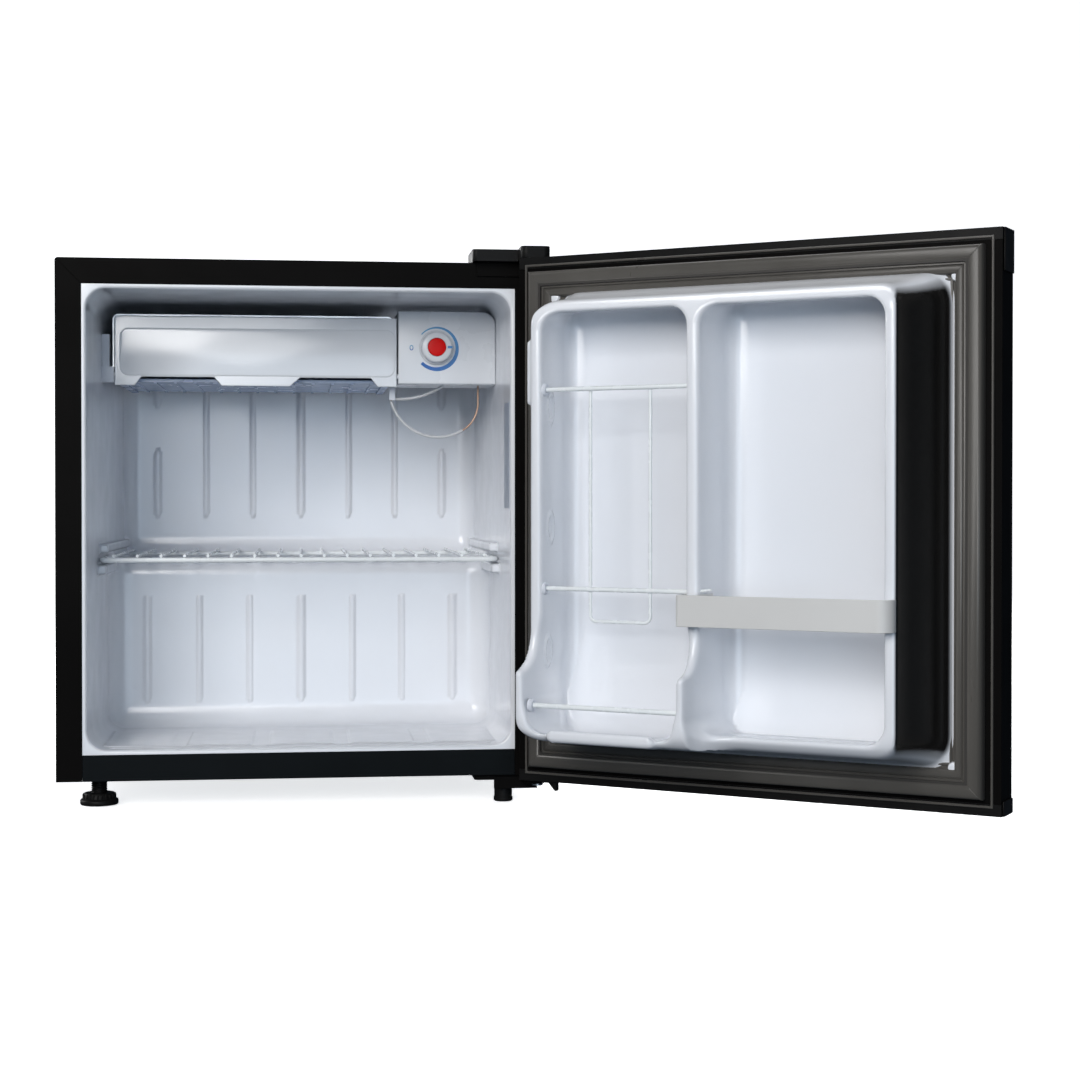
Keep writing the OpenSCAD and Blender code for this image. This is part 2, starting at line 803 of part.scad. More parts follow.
// The door seen from above, with its two outer corners rounded.
module door_plan(inset) {
  w = half - inset;
  y0 = door_out + inset;
  y1 = door_in - inset;
  r = corner_r - inset;
  translate([-w, y0 + r]) square([2 * w, y1 - y0 - r]);
  translate([-w + r, y0]) square([2 * w - 2 * r, y1 - y0]);
  for (x = [-w + r, w - r]) translate([x, y0 + r]) circle(r);
}

module door_skin() {
  color([0.05, 0.05, 0.05]) on_door() difference() {
    slab_z(door_low + cap_h, door_top - cap_h) door_plan(0);
    slab_z(door_low, door_top) door_plan(sheet);
    block(-half + lip_w, half - lip_w, door_in - 2, door_in + 1, door_low + lip_w, door_top - lip_w);
  }
}

// A cap on the door's end; s = 1 is the top one and s = -1 the bottom one.
module door_cap(s, skirt) {
  t = 2;
  z0 = s > 0 ? door_top - cap_h : door_low;
  difference() {
    union() {
      slab_z(z0 + (s > 0 ? e : 0), z0 + cap_h - (s > 0 ? 0 : e)) door_plan(0);
      slab_z(s > 0 ? door_top - skirt : door_low, s > 0 ? door_top : door_low + skirt)
        soft(-half - grip, -half - 0.05, door_out + corner_r, door_in - 3, 0.7);
      block(-half - 0.5, -half + 0.5, door_out + corner_r + 2, door_in - 4,
        z0 + (s > 0 ? e : 0), z0 + cap_h - (s > 0 ? 0 : e));
    }
    slab_z(s > 0 ? z0 - 1 : z0 + t, s > 0 ? z0 + cap_h - t : z0 + cap_h + 1) door_plan(t);
    rod_z(pin_x, pin_y, z0 - 5, z0 + cap_h + 5, 6.05);
  }
}

module door_top_cap() {
  color([0.07, 0.07, 0.07]) on_door() door_cap(1, 35);
}

module door_low_cap() {
  color([0.07, 0.07, 0.07]) on_door() door_cap(-1, 12);
}

module hinge_bushes() {
  len = cap_h - 0.2;
  color([0.85, 0.85, 0.85]) on_door() for (z = [door_low, door_top - len]) difference() {
    rod_z(pin_x, pin_y, z + (z > 100 ? 0 : 0.3), z + len - (z > 100 ? 0.3 : 0), 6);
    rod_z(pin_x, pin_y, z - 1, z + len + 1, pin_r + run);
  }
}

module door_foam() {
  color([0.93, 0.86, 0.66]) on_door() difference() {
    slab_z(door_low + cap_h + e, door_top - cap_h - e) door_plan(sheet + e);
    block(-half + lip_w - 1, half - lip_w + 1, door_in - 3, door_in + 1, door_low, door_top);
    rod_z(pin_x, pin_y, door_low, door_low + 16, 6.1);
    rod_z(pin_x, pin_y, door_top - 16, door_top, 6.1);
  }
}

// The side view of a door shelf wall: tall part, and a trough at its foot.
module wall_side(trough) {
  r = 22;
  intersection() {
    union() {
      soft(-60, tub_reach, tub_lo, tub_hi, r);
      if (trough) soft(-60, trough_reach, tub_lo, 98, 18);
    }
    translate([door_in - 1, 0]) square([200, 500]);
  }
}

module door_liner() {
  top_reach = 48;
  plate_t = 1.8;
  floor_t = 11;
  color([0.9, 0.9, 0.92]) on_door() union() {
    block(-half + lip_w + e, half - lip_w - e, door_in - 1.2, door_in - 1.2 + plate_t,
      door_low + lip_w, door_top - lip_w);
    slab_x(left_x - wall_t, left_x) wall_side(true);
    slab_x(div_x - wall_t, div_x) wall_side(true);
    slab_x(right_x, right_x + wall_t) wall_side(false);
    block(right_x + 2, left_x - 2, door_in - 1, top_reach, tub_hi - floor_t, tub_hi);
    block(right_x + 2, div_x - 2, door_in - 1, tub_reach - 4, tub_lo, tub_lo + floor_t);
    block(div_x - 2, left_x - 2, door_in - 1, trough_reach - 8, tub_lo, tub_lo + 6);
    block(div_x - 2, left_x - 2, trough_reach - 12, trough_reach - 4, tub_lo + 2, tub_lo + 12);
    slab_y(44, 66) soft(left_x - 2, left_x + 3, 340, 396, 2.4);
  }
}

// A frame drawn in X and Z round the door's edge, between two distances from that edge.
module ring(a, b) {
  difference() {
    soft(-half + a, half - a, door_low + a, door_top - a, 4);
    soft(-half + b, half - b, door_low + b, door_top - b, 2);
  }
}

// The magnetic door seal: foot, bellows and magnet tube.
module gasket() {
  color([0.16, 0.155, 0.15]) on_door() difference() {
    union() {
      slab_y(door_in + 0.7, door_in + 3) ring(gasket_in, gasket_in + gasket_w);
      slab_y(door_in + 3 - e, -5) ring(gasket_in + 4, gasket_in + gasket_w - 5);
      slab_y(-5 - e, -0.6) ring(gasket_in, gasket_in + gasket_w - 2);
    }
    slab_y(-4.3, -1.5) ring(gasket_in + 3, gasket_in + 13);
  }
}

module gasket_magnet() {
  color([0.12, 0.1, 0.09]) on_door()
    slab_y(-4.2, -1.6) ring(gasket_in + 3 + e, gasket_in + 13 - e);
}

rack_x0 = div_x;
rack_x1 = left_x - wall_t;
rod_hi = 353;
rod_mid = 181.5;
u_x0 = half - 165;
u_x1 = half - 108.5;
u_z = 154;

// Two cross rods with a U-shaped guard wire welded on.
module can_rack() {
  r = 2;
  wire = 1.5;
  bend = 5;
  color([0.87, 0.9, 0.92]) on_door() union() {
    rod_x(rack_x0, rack_x1, rod_y, rod_hi, r);
    rod_x(rack_x0, rack_x1, rod_y, rod_mid, r);
    for (x = [u_x0, u_x1]) rod_z(x, rod_y - 2.6, u_z + bend, rod_hi, wire);
    rod_x(u_x0 + bend, u_x1 - bend, rod_y - 2.6, u_z, wire);
    bend_y(u_x0 + bend, rod_y - 2.6, u_z + bend, bend, wire, 180, 90);
    bend_y(u_x1 - bend, rod_y - 2.6, u_z + bend, bend, wire, 270, 90);
  }
}

module trough_rod() {
  color([0.87, 0.9, 0.92]) on_door() rod_x(rack_x0, rack_x1, 84, 82.5, 2.2);
}

// Collars where the rods meet the wall.
module rod_ferrules() {
  color([0.85, 0.87, 0.89]) on_door() {
    for (z = [rod_hi, rod_mid]) difference() {
      rod_x(rack_x1 - 2.5, rack_x1, rod_y, z, 5.5);
      rod_x(rack_x1 - 4, rack_x1 + 1, rod_y, z, 2.05);
    }
    difference() {
      rod_x(rack_x1 - 2.5, rack_x1, 84, 82.5, 5.5);
      rod_x(rack_x1 - 4, rack_x1 + 1, 84, 82.5, 2.25);
    }
  }
}

// Flat bar across the tall bin, clipped over the divider, with a bend on the right wall.
module retainer_bar() {
  t = 2.2;
  bend = 14;
  leg = 30;
  clip_gap = 0.05;
  y = tub_reach + 0.1;
  plate_y = y + bend - t;
  x0 = right_x + 6;
  x1 = div_x + clip_gap + t;
  color([0.85, 0.85, 0.85]) on_door() slab_z(153.8, 179.8) union() {
    translate([x0 + bend - e, plate_y]) square([x1 - x0 - bend + e, t]);
    translate([x0 + bend, y]) intersection() {
      difference() {
        circle(bend);
        circle(bend - t);
      }
      translate([-bend, 0]) square([bend, bend]);
    }
    for (x = [x1 - t, div_x - wall_t - clip_gap - t])
      translate([x, y - leg]) square([t, leg + bend]);
  }
}

shelf_x = 190;
shelf_y0 = 90;
shelf_y1 = 318;

module shelf_frame() {
  r = shelf_r;
  b = 10;
  color([0.87, 0.9, 0.92]) placed() union() {
    rod_x(-shelf_x + b, shelf_x - b, shelf_y0, shelf_z, r);
    rod_x(-shelf_x + b, shelf_x - b, shelf_y1, shelf_z, r);
    for (x = [-shelf_x, shelf_x]) rod_y(x, shelf_y0 + b, shelf_y1 - b, shelf_z, r);
    bend_z(shelf_x - b, shelf_y1 - b, shelf_z, b, r, 0, 90);
    bend_z(-shelf_x + b, shelf_y1 - b, shelf_z, b, r, 90, 90);
    bend_z(-shelf_x + b, shelf_y0 + b, shelf_z, b, r, 180, 90);
    bend_z(shelf_x - b, shelf_y0 + b, shelf_z, b, r, 270, 90);
  }
}

module shelf_wires() {
  wire = 1.5;
  pitch = 22.3;
  weld_gap = 0.02;
  color([0.87, 0.9, 0.92]) placed() {
    for (i = [-8:8])
      rod_y(i * pitch, shelf_y0 - 1, shelf_y1 + 1, shelf_z + shelf_r + wire + weld_gap, wire);
  }
}

stud_x = -186.5;
stud_y = 30;
stud_r = 7.4;
pad_h = 11;

// Coarse threaded stud of the levelling foot, as its plain core.
module foot_stud() {
  color([0.7, 0.7, 0.7]) placed()
    rod_z(stud_x, stud_y, -foot_h + pad_h - 4, 9, stud_r);
}

module foot_pad() {
  color([0.05, 0.05, 0.05]) placed() translate([stud_x, stud_y, -foot_h]) difference() {
    union() {
      cylinder(h = pad_h, r = 15);
      cylinder(h = 5, r = 17.5);
    }
    translate([0, 0, pad_h - 4.1]) cylinder(h = 10, r = stud_r + run);
  }
}

outer_shell();
base_rail();
base_pan();
back_panel();
bay_panel();
compressor_deck();
insulation();
inner_liner();
liner_label();
hole_plugs();
compressor();
grommets();
start_relay();
mains_inlet();
filter_drier();
discharge_line();
suction_line();
case_screws();
foam_plug();
rear_feet();
hinge_foot();
top_bracket();
top_cover();
top_pin();
low_bracket();
low_pin();
hinge_screws();
evaporator();
evaporator_posts();
tray_rails();
flap_bracket();
thermostat_box();
thermostat_body();
dial_print();
lead_sleeves();
capillary();
bulb_clip();
door_skin();
door_top_cap();
door_low_cap();
door_foam();
door_liner();
gasket();
gasket_magnet();
hinge_bushes();
can_rack();
trough_rod();
rod_ferrules();
retainer_bar();
freezer_flap();
knob();
knob_cap();
knob_pointer();
spindle();
shelf_frame();
shelf_wires();
drip_tray();
foot_stud();
foot_pad();
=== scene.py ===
"""Looks of a compact mini fridge with its door open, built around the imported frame.

Shapes are worked out in millimetres in cabinet coordinates: X = 0 on the cabinet's middle,
Y = 0 on its front face, Z = 0 on its underside. Door pieces are drawn for the closed door and
then swung open about the hinge pins. Everything is turned into the frame's metres at the end.
"""

import json
import math

import bpy
import numpy as np
from mathutils import Euler, Matrix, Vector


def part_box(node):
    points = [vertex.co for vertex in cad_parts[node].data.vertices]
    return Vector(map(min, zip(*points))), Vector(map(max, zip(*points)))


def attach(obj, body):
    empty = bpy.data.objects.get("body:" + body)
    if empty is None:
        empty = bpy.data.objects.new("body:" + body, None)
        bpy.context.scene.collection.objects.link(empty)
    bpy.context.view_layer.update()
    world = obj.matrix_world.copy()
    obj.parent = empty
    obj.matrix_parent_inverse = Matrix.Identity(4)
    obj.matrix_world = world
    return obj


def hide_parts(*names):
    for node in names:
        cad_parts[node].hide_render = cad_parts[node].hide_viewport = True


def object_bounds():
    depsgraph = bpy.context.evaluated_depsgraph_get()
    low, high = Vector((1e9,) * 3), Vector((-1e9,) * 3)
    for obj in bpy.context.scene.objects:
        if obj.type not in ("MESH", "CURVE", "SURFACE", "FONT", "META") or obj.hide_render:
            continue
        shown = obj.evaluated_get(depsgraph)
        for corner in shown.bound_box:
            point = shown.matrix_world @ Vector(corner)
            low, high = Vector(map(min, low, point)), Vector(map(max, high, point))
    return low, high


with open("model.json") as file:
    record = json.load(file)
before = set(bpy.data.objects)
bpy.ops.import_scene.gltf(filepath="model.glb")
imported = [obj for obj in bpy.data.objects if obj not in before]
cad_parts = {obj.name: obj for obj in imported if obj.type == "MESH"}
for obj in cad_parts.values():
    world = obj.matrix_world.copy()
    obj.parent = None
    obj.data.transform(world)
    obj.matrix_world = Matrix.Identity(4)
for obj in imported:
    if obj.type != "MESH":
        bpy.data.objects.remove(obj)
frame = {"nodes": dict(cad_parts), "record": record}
cad_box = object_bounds()

MM = 0.001
PAINTED_SIDE_SHADE = "painted_side_shade"  # point attribute: 1 where painted shade darkens the door shelves' outer side, which lies in shadow
SHELL_LO, SHELL_HI = (np.array(corner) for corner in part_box("outer_shell"))
ORIGIN = np.array([(SHELL_LO[0] + SHELL_HI[0]) / 2, SHELL_LO[1], SHELL_LO[2]])
HALF = (SHELL_HI[0] - SHELL_LO[0]) / 2 / MM
CAB_H = (SHELL_HI[2] - SHELL_LO[2]) / MM
HINGE = next(j for j in frame["record"]["behaviour"]["joints"] if j["name"] == "door_hinge")
DOOR_OPEN = math.radians(-HINGE["range_deg"][0])
PIN = (np.array(HINGE["pos_m"]) - ORIGIN)[:2] / MM
SLOT_OF = {part["node"]: part["material_slot"] for part in frame["record"]["subparts"]}


def cab_box(node):
    """A CAD node's corners in cabinet millimetres."""
    low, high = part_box(node)
    return (np.array(low) - ORIGIN) / MM, (np.array(high) - ORIGIN) / MM


def swung(p, angle):
    """Points turned about the hinge pins."""
    x, y = p[:, 0] - PIN[0], p[:, 1] - PIN[1]
    c, s = math.cos(angle), math.sin(angle)
    return np.stack([PIN[0] + x * c - y * s, PIN[1] + x * s + y * c, p[:, 2]], 1)


def cab_door_box(node):
    """A door node's corners in closed-door millimetres."""
    obj = frame["nodes"][node]
    p = np.array([tuple(obj.matrix_world @ v.co) for v in obj.data.vertices])
    p = swung((p - ORIGIN) / MM, -DOOR_OPEN)
    return p.min(axis=0), p.max(axis=0)


def to_row(points, on_door=False):
    """Cabinet millimetres, or closed-door millimetres, to the frame's metres."""
    p = np.array(points, float).reshape(-1, 3)
    if on_door:
        p = swung(p, DOOR_OPEN)
    return ORIGIN + p * MM


# ---------------------------------------------------------------- materials


class Nodes:
    """A short way to build a material's node tree."""

    def __init__(self, name):
        self.material = bpy.data.materials.new(name)
        self.material.use_nodes = True
        self.tree = self.material.node_tree
        self.shader = self.tree.nodes["Principled BSDF"]
        self.coords = self.tree.nodes.new("ShaderNodeTexCoord").outputs["Object"]

    def node(self, kind, inputs=None, **settings):
        made = self.tree.nodes.new(kind)
        for key, value in settings.items():
            setattr(made, key, value)
        for key, value in (inputs or {}).items():
            if isinstance(value, bpy.types.NodeSocket):
                self.tree.links.new(value, made.inputs[key])
            else:
                made.inputs[key].default_value = value
        return made

    def stretched(self, scale):
        return self.node("ShaderNodeMapping", {"Vector": self.coords, "Scale": scale}).outputs[0]

    def noise(self, scale, detail=3.0, stretch=(1, 1, 1)):
        vector = self.stretched(stretch)
        made = self.node("ShaderNodeTexNoise", {"Vector": vector, "Scale": scale, "Detail": detail})
        return made.outputs["Fac"]

    def ramp(self, value, low, high, start=0.3, end=0.7):
        made = self.node("ShaderNodeValToRGB", {"Fac": value})
        stops = made.color_ramp.elements
        stops[0].position, stops[1].position = start, end
        stops[0].color = (*low, 1)
        stops[1].color = (*high, 1)
        return made.outputs["Color"]

    def between(self, value, low, high):
        made = self.node("ShaderNodeMapRange", {"Value": value, "From Min": 0.3, "From Max": 0.7,
                                                "To Min": low, "To Max": high})
        return made.outputs["Result"]

    def bump(self, height, strength, distance, normal=None):
        inputs = {"Height": height, "Strength": strength, "Distance": distance}
        if normal is not None:
            inputs["Normal"] = normal
        return self.node("ShaderNodeBump", inputs).outputs["Normal"]

    def link(self, value, socket):
        self.tree.links.new(value, self.shader.inputs[socket])

    def set(self, **values):
        for key, value in values.items():
            self.shader.inputs[key.replace("_", " ")].default_value = value


def surface(name, dark, light, rough, grain, depth, blotch=9.0, stretch=(1, 1, 1), **values):
    """A painted, moulded or metal surface: soft colour clouds, uneven gloss and a fine grain."""
    n = Nodes(name)
    clouds = n.noise(blotch, 4.0, stretch)
    n.link(n.ramp(clouds, dark, light), "Base Color")
    n.link(n.between(n.noise(blotch * 3.3, 5.0, stretch), rough[0], rough[1]), "Roughness")
    fine = n.noise(grain, 2.0, stretch)
    wide = n.noise(grain / 14, 2.0, stretch)
    soft = n.bump(wide, 0.25, depth * 3 * MM)
    n.link(n.bump(fine, 0.45, depth * MM, soft), "Normal")
    n.set(**values)
    return n.material


def grey(value):
    return value, value, value


def make_materials():
    """One material for each of the record's slots."""
    made = {
        "liner_white": liner_material(),
        "label": label_material(),
        "dial_blue": dial_material(),
    }

    def make(name, *looks, **values):
        made[name] = surface(name, *looks, **values)

    # dark and light colour, least and most roughness, grain per metre, its depth in millimetres
    make("painted_black", (0.0026, 0.0024, 0.0023), (0.0044, 0.0041, 0.004), (0.44, 0.49), 1500,
         0.008, Specular_IOR_Level=0.025)
    make("rail_black", (0.003, 0.0045, 0.0055), (0.0048, 0.0068, 0.0082), (0.4, 0.52), 1300, 0.02,
         Specular_IOR_Level=0.06)
    make("zinc_sheet", grey(0.42), grey(0.58), (0.3, 0.5), 900, 0.02, blotch=45, Metallic=1.0)
    make("deck_black", grey(0.01), grey(0.02), (0.5, 0.65), 1100, 0.05)
    make("foam", (0.72, 0.56, 0.3), (0.84, 0.7, 0.42), (0.8, 0.95), 500, 0.3)
    make("black_plastic", grey(0.0045), grey(0.008), (0.36, 0.5), 1900, 0.05,
         Specular_IOR_Level=0.1)
    make("compressor_black", grey(0.006), grey(0.011), (0.16, 0.3), 600, 0.05)
    make("rubber_black", grey(0.012), grey(0.02), (0.6, 0.75), 1200, 0.08)
    make("copper", (0.3, 0.19, 0.13), (0.5, 0.34, 0.25), (0.3, 0.48), 700, 0.02, blotch=60,
         Metallic=1.0)
    make("screw_steel", grey(0.5), grey(0.66), (0.2, 0.36), 1500, 0.02, blotch=90, Metallic=1.0)
    make("pin_steel", grey(0.5), grey(0.62), (0.2, 0.3), 900, 0.02, blotch=90, stretch=(1, 1, 12),
         Metallic=1.0)
    make("aluminium", grey(0.6), grey(0.7), (0.3, 0.42), 800, 0.03, stretch=(1, 8, 8),
         Metallic=1.0)
    make("post_white", (0.66, 0.69, 0.76), (0.71, 0.74, 0.8), (0.3, 0.4), 900, 0.03)
    make("tray_blue", (0.42, 0.52, 0.74), (0.5, 0.6, 0.8), (0.18, 0.3), 500, 0.08,
         Transmission_Weight=0.2, IOR=1.46)
    make("flap_white", (0.7, 0.725, 0.76), (0.72, 0.745, 0.78), (0.09, 0.13), 900, 0.003)
    make("box_white", (0.69, 0.715, 0.75), (0.71, 0.735, 0.77), (0.22, 0.3), 900, 0.01)
    make("sleeve_grey", (0.5, 0.51, 0.53), (0.6, 0.61, 0.63), (0.35, 0.5), 1200, 0.03)
    make("gasket_rubber", (0.062, 0.058, 0.052), (0.09, 0.085, 0.077), (0.26, 0.38), 1000, 0.04,
         stretch=(1, 1, 0.2), Specular_IOR_Level=0.35)
    make("magnet", (0.02, 0.018, 0.016), (0.03, 0.027, 0.024), (0.6, 0.7), 900, 0.05)
    make("bush_white", grey(0.66), grey(0.72), (0.3, 0.4), 1000, 0.02)
    make("wire_white", (0.84, 0.88, 0.9), (0.88, 0.91, 0.92), (0.22, 0.3), 900, 0.004, blotch=40)
    make("bar_grey", (0.62, 0.62, 0.61), (0.66, 0.66, 0.65), (0.34, 0.46), 1300, 0.03)
    make("knob_red", (0.66, 0.0, 0.0), (0.72, 0.003, 0.002), (0.34, 0.44), 1000, 0.01,
         Specular_IOR_Level=0.15)
    return made


def liner_material():
    """Glossy white plastic; the door shelves' outer side away from the hinge gets painted shade,
    near black, for the shadow it lies in.
    """
    n = Nodes("liner_white")
    clouds = n.noise(9.0, 4.0)
    white = n.ramp(clouds, (0.79, 0.815, 0.86), (0.81, 0.83, 0.87))
    # painted shade: near-black colour for the shelves' outer side, which lies in shadow
    dark = n.ramp(clouds, (0.004, 0.004, 0.0042), (0.0065, 0.0063, 0.0065))
    shade = n.node("ShaderNodeAttribute", attribute_name=PAINTED_SIDE_SHADE).outputs["Fac"]
    mixed = n.node("ShaderNodeMix", {0: shade, 6: white, 7: dark}, data_type="RGBA")
    n.link(mixed.outputs[2], "Base Color")
    n.link(n.between(n.noise(30.0, 5.0), 0.17, 0.24), "Roughness")
    soft = n.bump(n.noise(50, 2.0), 0.25, 0.036 * MM)
    n.link(n.bump(n.noise(700, 2.0), 0.45, 0.012 * MM, soft), "Normal")
    n.set(Specular_IOR_Level=0.5, Coat_Weight=0.2, Coat_Roughness=0.12)
    return n.material


def label_material():
    """Grey printed film with plain pale bars."""
    n = Nodes("label")
    bars = n.node("ShaderNodeTexBrick", {"Vector": n.stretched((0, 60, 34)), "Scale": 3.0,
                                         "Mortar Size": 0.16, "Color1": (0.1, 0.12, 0.16, 1),
                                         "Color2": (0.2, 0.23, 0.29, 1),
                                         "Mortar": (0.33, 0.38, 0.46, 1)})
    n.link(bars.outputs["Color"], "Base Color")
    n.link(n.between(n.noise(40), 0.35, 0.5), "Roughness")
    n.link(n.bump(n.noise(700), 0.2, 0.02 * MM), "Normal")
    return n.material


def dial_material():
    """Printed blue that turns from pale to deep round the dial."""
    n = Nodes("dial_blue")
    low, high = cab_box("knob")
    centre = to_row([(low + high) / 2])[0]
    shifted = n.node("ShaderNodeMapping", {"Vector": n.coords, "Location": tuple(-centre)})
    parts = n.node("ShaderNodeSeparateXYZ", {"Vector": shifted.outputs[0]})
    turn = n.node("ShaderNodeMath", {0: parts.outputs["Z"], 1: parts.outputs["X"]},
                  operation="ARCTAN2")
    along = n.node("ShaderNodeMapRange", {"Value": turn.outputs[0], "From Min": 2.4,
                                          "From Max": -2.4, "To Min": 0.0, "To Max": 1.0})
    n.link(n.ramp(along.outputs["Result"], (0.09, 0.33, 0.56), (0.004, 0.11, 0.42), 0.0, 0.9),
           "Base Color")
    n.link(n.between(n.noise(60), 0.3, 0.4), "Roughness")
    n.link(n.bump(n.noise(900), 0.2, 0.01 * MM), "Normal")
    return n.material


MATERIAL = make_materials()

# ---------------------------------------------------------------- mesh helpers


def add_beside(name, points, faces, body, slot, on_door=False, normals=None, sharp=35):
    """A piece in a material slot that rides on a body. It stands for no CAD node."""
    mesh = bpy.data.meshes.new(name)
    mesh.from_pydata(to_row(points, on_door).tolist(), [], faces)
    mesh.validate()
    mesh.update()
    mesh.polygons.foreach_set("use_smooth", [True] * len(mesh.polygons))
    if normals is None:
        mesh.set_sharp_from_angle(angle=math.radians(sharp))
    else:
        turned = to_row(normals, on_door) - to_row([(0, 0, 0)], on_door)
        turned /= np.linalg.norm(turned, axis=1)[:, None]
        mesh.normals_split_custom_set_from_vertices(turned.tolist())
    obj = bpy.data.objects.new(name, mesh)
    bpy.context.scene.collection.objects.link(obj)
    mesh.materials.append(MATERIAL[slot])
    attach(obj, body)
    return obj


def add(name, points, faces, body, node, **options):
    """A piece that takes the place of a CAD node."""
    obj = add_beside(name, points, faces, body, SLOT_OF[node], **options)
    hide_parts(node)
    return obj


def bevel(obj, width, segments=3, angle=40):
    """Rounds an object's sharp edges by a width in millimetres."""
    made = obj.modifiers.new("soft_edges", "BEVEL")
    made.width = width * MM
    made.segments = segments
    made.limit_method = "ANGLE"
    made.angle_limit = math.radians(angle)
    made.harden_normals = True
    return obj


def soften_cad(node, width):
    """Gives a CAD node with flat faces the small edge radius of the real part."""
    obj = frame["nodes"][node]
    weld = obj.modifiers.new("weld", "WELD")
    weld.merge_threshold = 0.01 * MM
    bevel(obj, width, 2, 35)


class Shape:
    """Points and faces gathered from several primitives."""

    def __init__(self):
        self.points = []
        self.faces = []

    def join(self, points, faces):
        start = len(self.points)
        self.points.extend([tuple(p) for p in points])
        self.faces.extend([tuple(start + i for i in face) for face in faces])
        return self


def arc(cx, cz, r, start, end, steps=8):
    """Points on an arc, angles in degrees."""
    angles = np.radians(np.linspace(start, end, steps + 1))
    return [(cx + r * math.cos(a), cz + r * math.sin(a)) for a in angles]


def round_rect(x0, x1, z0, z1, r, steps=6):
    """A closed outline with round corners, counted the same way for any size."""
    return (arc(x1 - r, z1 - r, r, 0, 90, steps) + arc(x0 + r, z1 - r, r, 90, 180, steps)
            + arc(x0 + r, z0 + r, r, 180, 270, steps) + arc(x1 - r, z0 + r, r, 270, 360, steps))


def loft(rings, caps=(False, False)):
    """Faces round closed rings with the same number of points; caps close the first and last."""
    rings = [list(ring) for ring in rings]
    count = len(rings[0])
    points = [p for ring in rings for p in ring]
    faces = []
    for k in range(len(rings) - 1):
        near, far = k * count, (k + 1) * count
        for i in range(count):
            j = (i + 1) % count
            faces.append((near + i, near + j, far + j, far + i))
    if caps[0]:
        faces.append(tuple(range(count))[::-1])
    if caps[1]:
        faces.append(tuple((len(rings) - 1) * count + i for i in range(count)))
    return points, faces


def prism(outline, low, high):
    """An outline in X and Z made solid between two depths."""
    rings = [[(x, y, z) for x, z in outline] for y in (low, high)]
    return loft(rings, caps=(True, True))


def lathe(profile, centre, axis="z", sides=64):
    """A round solid: profile is (radius, height) pairs along the axis, closed at both ends."""
    rings = []
    for r, h in profile:
        ring = []
        for i in range(sides):
            a = 2 * math.pi * i / sides
            u, v = r * math.cos(a), r * math.sin(a)
            offset = {"x": (h, u, v), "y": (u, h, v), "z": (u, v, h)}[axis]
            ring.append(tuple(c + o for c, o in zip(centre, offset)))
        rings.append(ring)
    return loft(rings, caps=(True, True))


def rounded_path(corners, r, steps=8):
    """A path through corner points with each inner corner rounded to radius r."""
    corners = [np.array(c, float) for c in corners]
    path = [corners[0]]
    for before, at, after in zip(corners, corners[1:], corners[2:]):
        u, v = before - at, after - at
        u, v = u / np.linalg.norm(u), v / np.linalg.norm(v)
        half = math.acos(max(-1, min(1, float(u @ v)))) / 2
        reach = r / math.tan(half)
        start, end = at + u * reach, at + v * reach
        middle = at + (u + v) / np.linalg.norm(u + v) * (r / math.sin(half))
        for t in np.linspace(0, 1, steps + 1):
            spoke = start * (1 - t) + end * t - middle
            path.append(middle + spoke / np.linalg.norm(spoke) * r)
    path.append(corners[-1])
    return path


def tube(path, r, sides=14):
    """A round rod along a path."""
    path = [np.array(p, float) for p in path]
    rings = []
    side = None
    for i, p in enumerate(path):
        ahead = path[min(i + 1, len(path) - 1)] - path[max(i - 1, 0)]
        ahead /= np.linalg.norm(ahead)
        if side is None:
            side = np.cross(ahead, (0, 0, 1) if abs(ahead[2]) < 0.9 else (0, 1, 0))
        side = side - ahead * (side @ ahead)
        side /= np.linalg.norm(side)
        up = np.cross(ahead, side)
        turns = [2 * math.pi * k / sides for k in range(sides)]
        rings.append([tuple(p + r * (math.cos(a) * side + math.sin(a) * up)) for a in turns])
    return loft(rings, caps=(True, True))


# ---------------------------------------------------------------- rounded fields

FAR = 900.0


def round_box(p, low, high, r):
    """Distance to a box with rounded edges, negative inside."""
    low, high = np.array(low, float), np.array(high, float)
    q = np.abs(p - (low + high) / 2) - ((high - low) / 2 - r)
    outside = np.linalg.norm(np.maximum(q, 0), axis=1)
    return outside + np.minimum(q.max(axis=1), 0) - r


def merged(a, b, k):
    """Two shapes joined, with a fillet of about k."""
    h = np.maximum(k - np.abs(a - b), 0) / k
    return np.minimum(a, b) - h * h * k / 4


def cut(a, b, k):
    """Shape a without shape b, with the new edge rounded by about k."""
    return -merged(-a, b, k)


def common(a, b, k):
    """What two shapes share, with the edge rounded by about k."""
    return -merged(-a, -b, k)


def slope(field, p, step=0.05):
    """The field's gradient at some points."""
    g = np.empty_like(p)
    for axis in range(3):
        d = np.zeros(3)
        d[axis] = step
        g[:, axis] = (field(p + d) - field(p - d)) / (2 * step)
    return g


def sign_changes(value, axes, axis):
    """Grid edges along an axis where the field changes sign: their first point, where the
    surface crosses them, and whether the first point is inside."""
    first, second = [slice(None)] * 3, [slice(None)] * 3
    first[axis], second[axis] = slice(0, -1), slice(1, None)
    inside = value < 0
    edges = np.argwhere(inside[tuple(first)] != inside[tuple(second)])
    over = edges.copy()
    over[:, axis] += 1
    start, end = value[tuple(edges.T)], value[tuple(over.T)]
    at = np.stack([axes[d][edges[:, d]] for d in range(3)], 1)
    at[:, axis] += start / (start - end) * (axes[axis][over[:, axis]] - axes[axis][edges[:, axis]])
    return edges, at, inside[tuple(edges.T)]


def cells_round(edges, axis, steps_back):
    """The grid cells that share edges along an axis, one array for each pair of steps back."""
    across = [d for d in range(3) if d != axis]
    for steps in steps_back:
        cell = edges.copy()
        cell[:, across] -= steps
        yield cell


def pulled(field, points, rounds=3):
    """Points moved down the field's slope onto its surface."""
    for _ in range(rounds):
        g = slope(field, points)
        size = np.maximum((g * g).sum(axis=1), 0.05)
        points = points - (field(points) / size)[:, None] * g
    return points


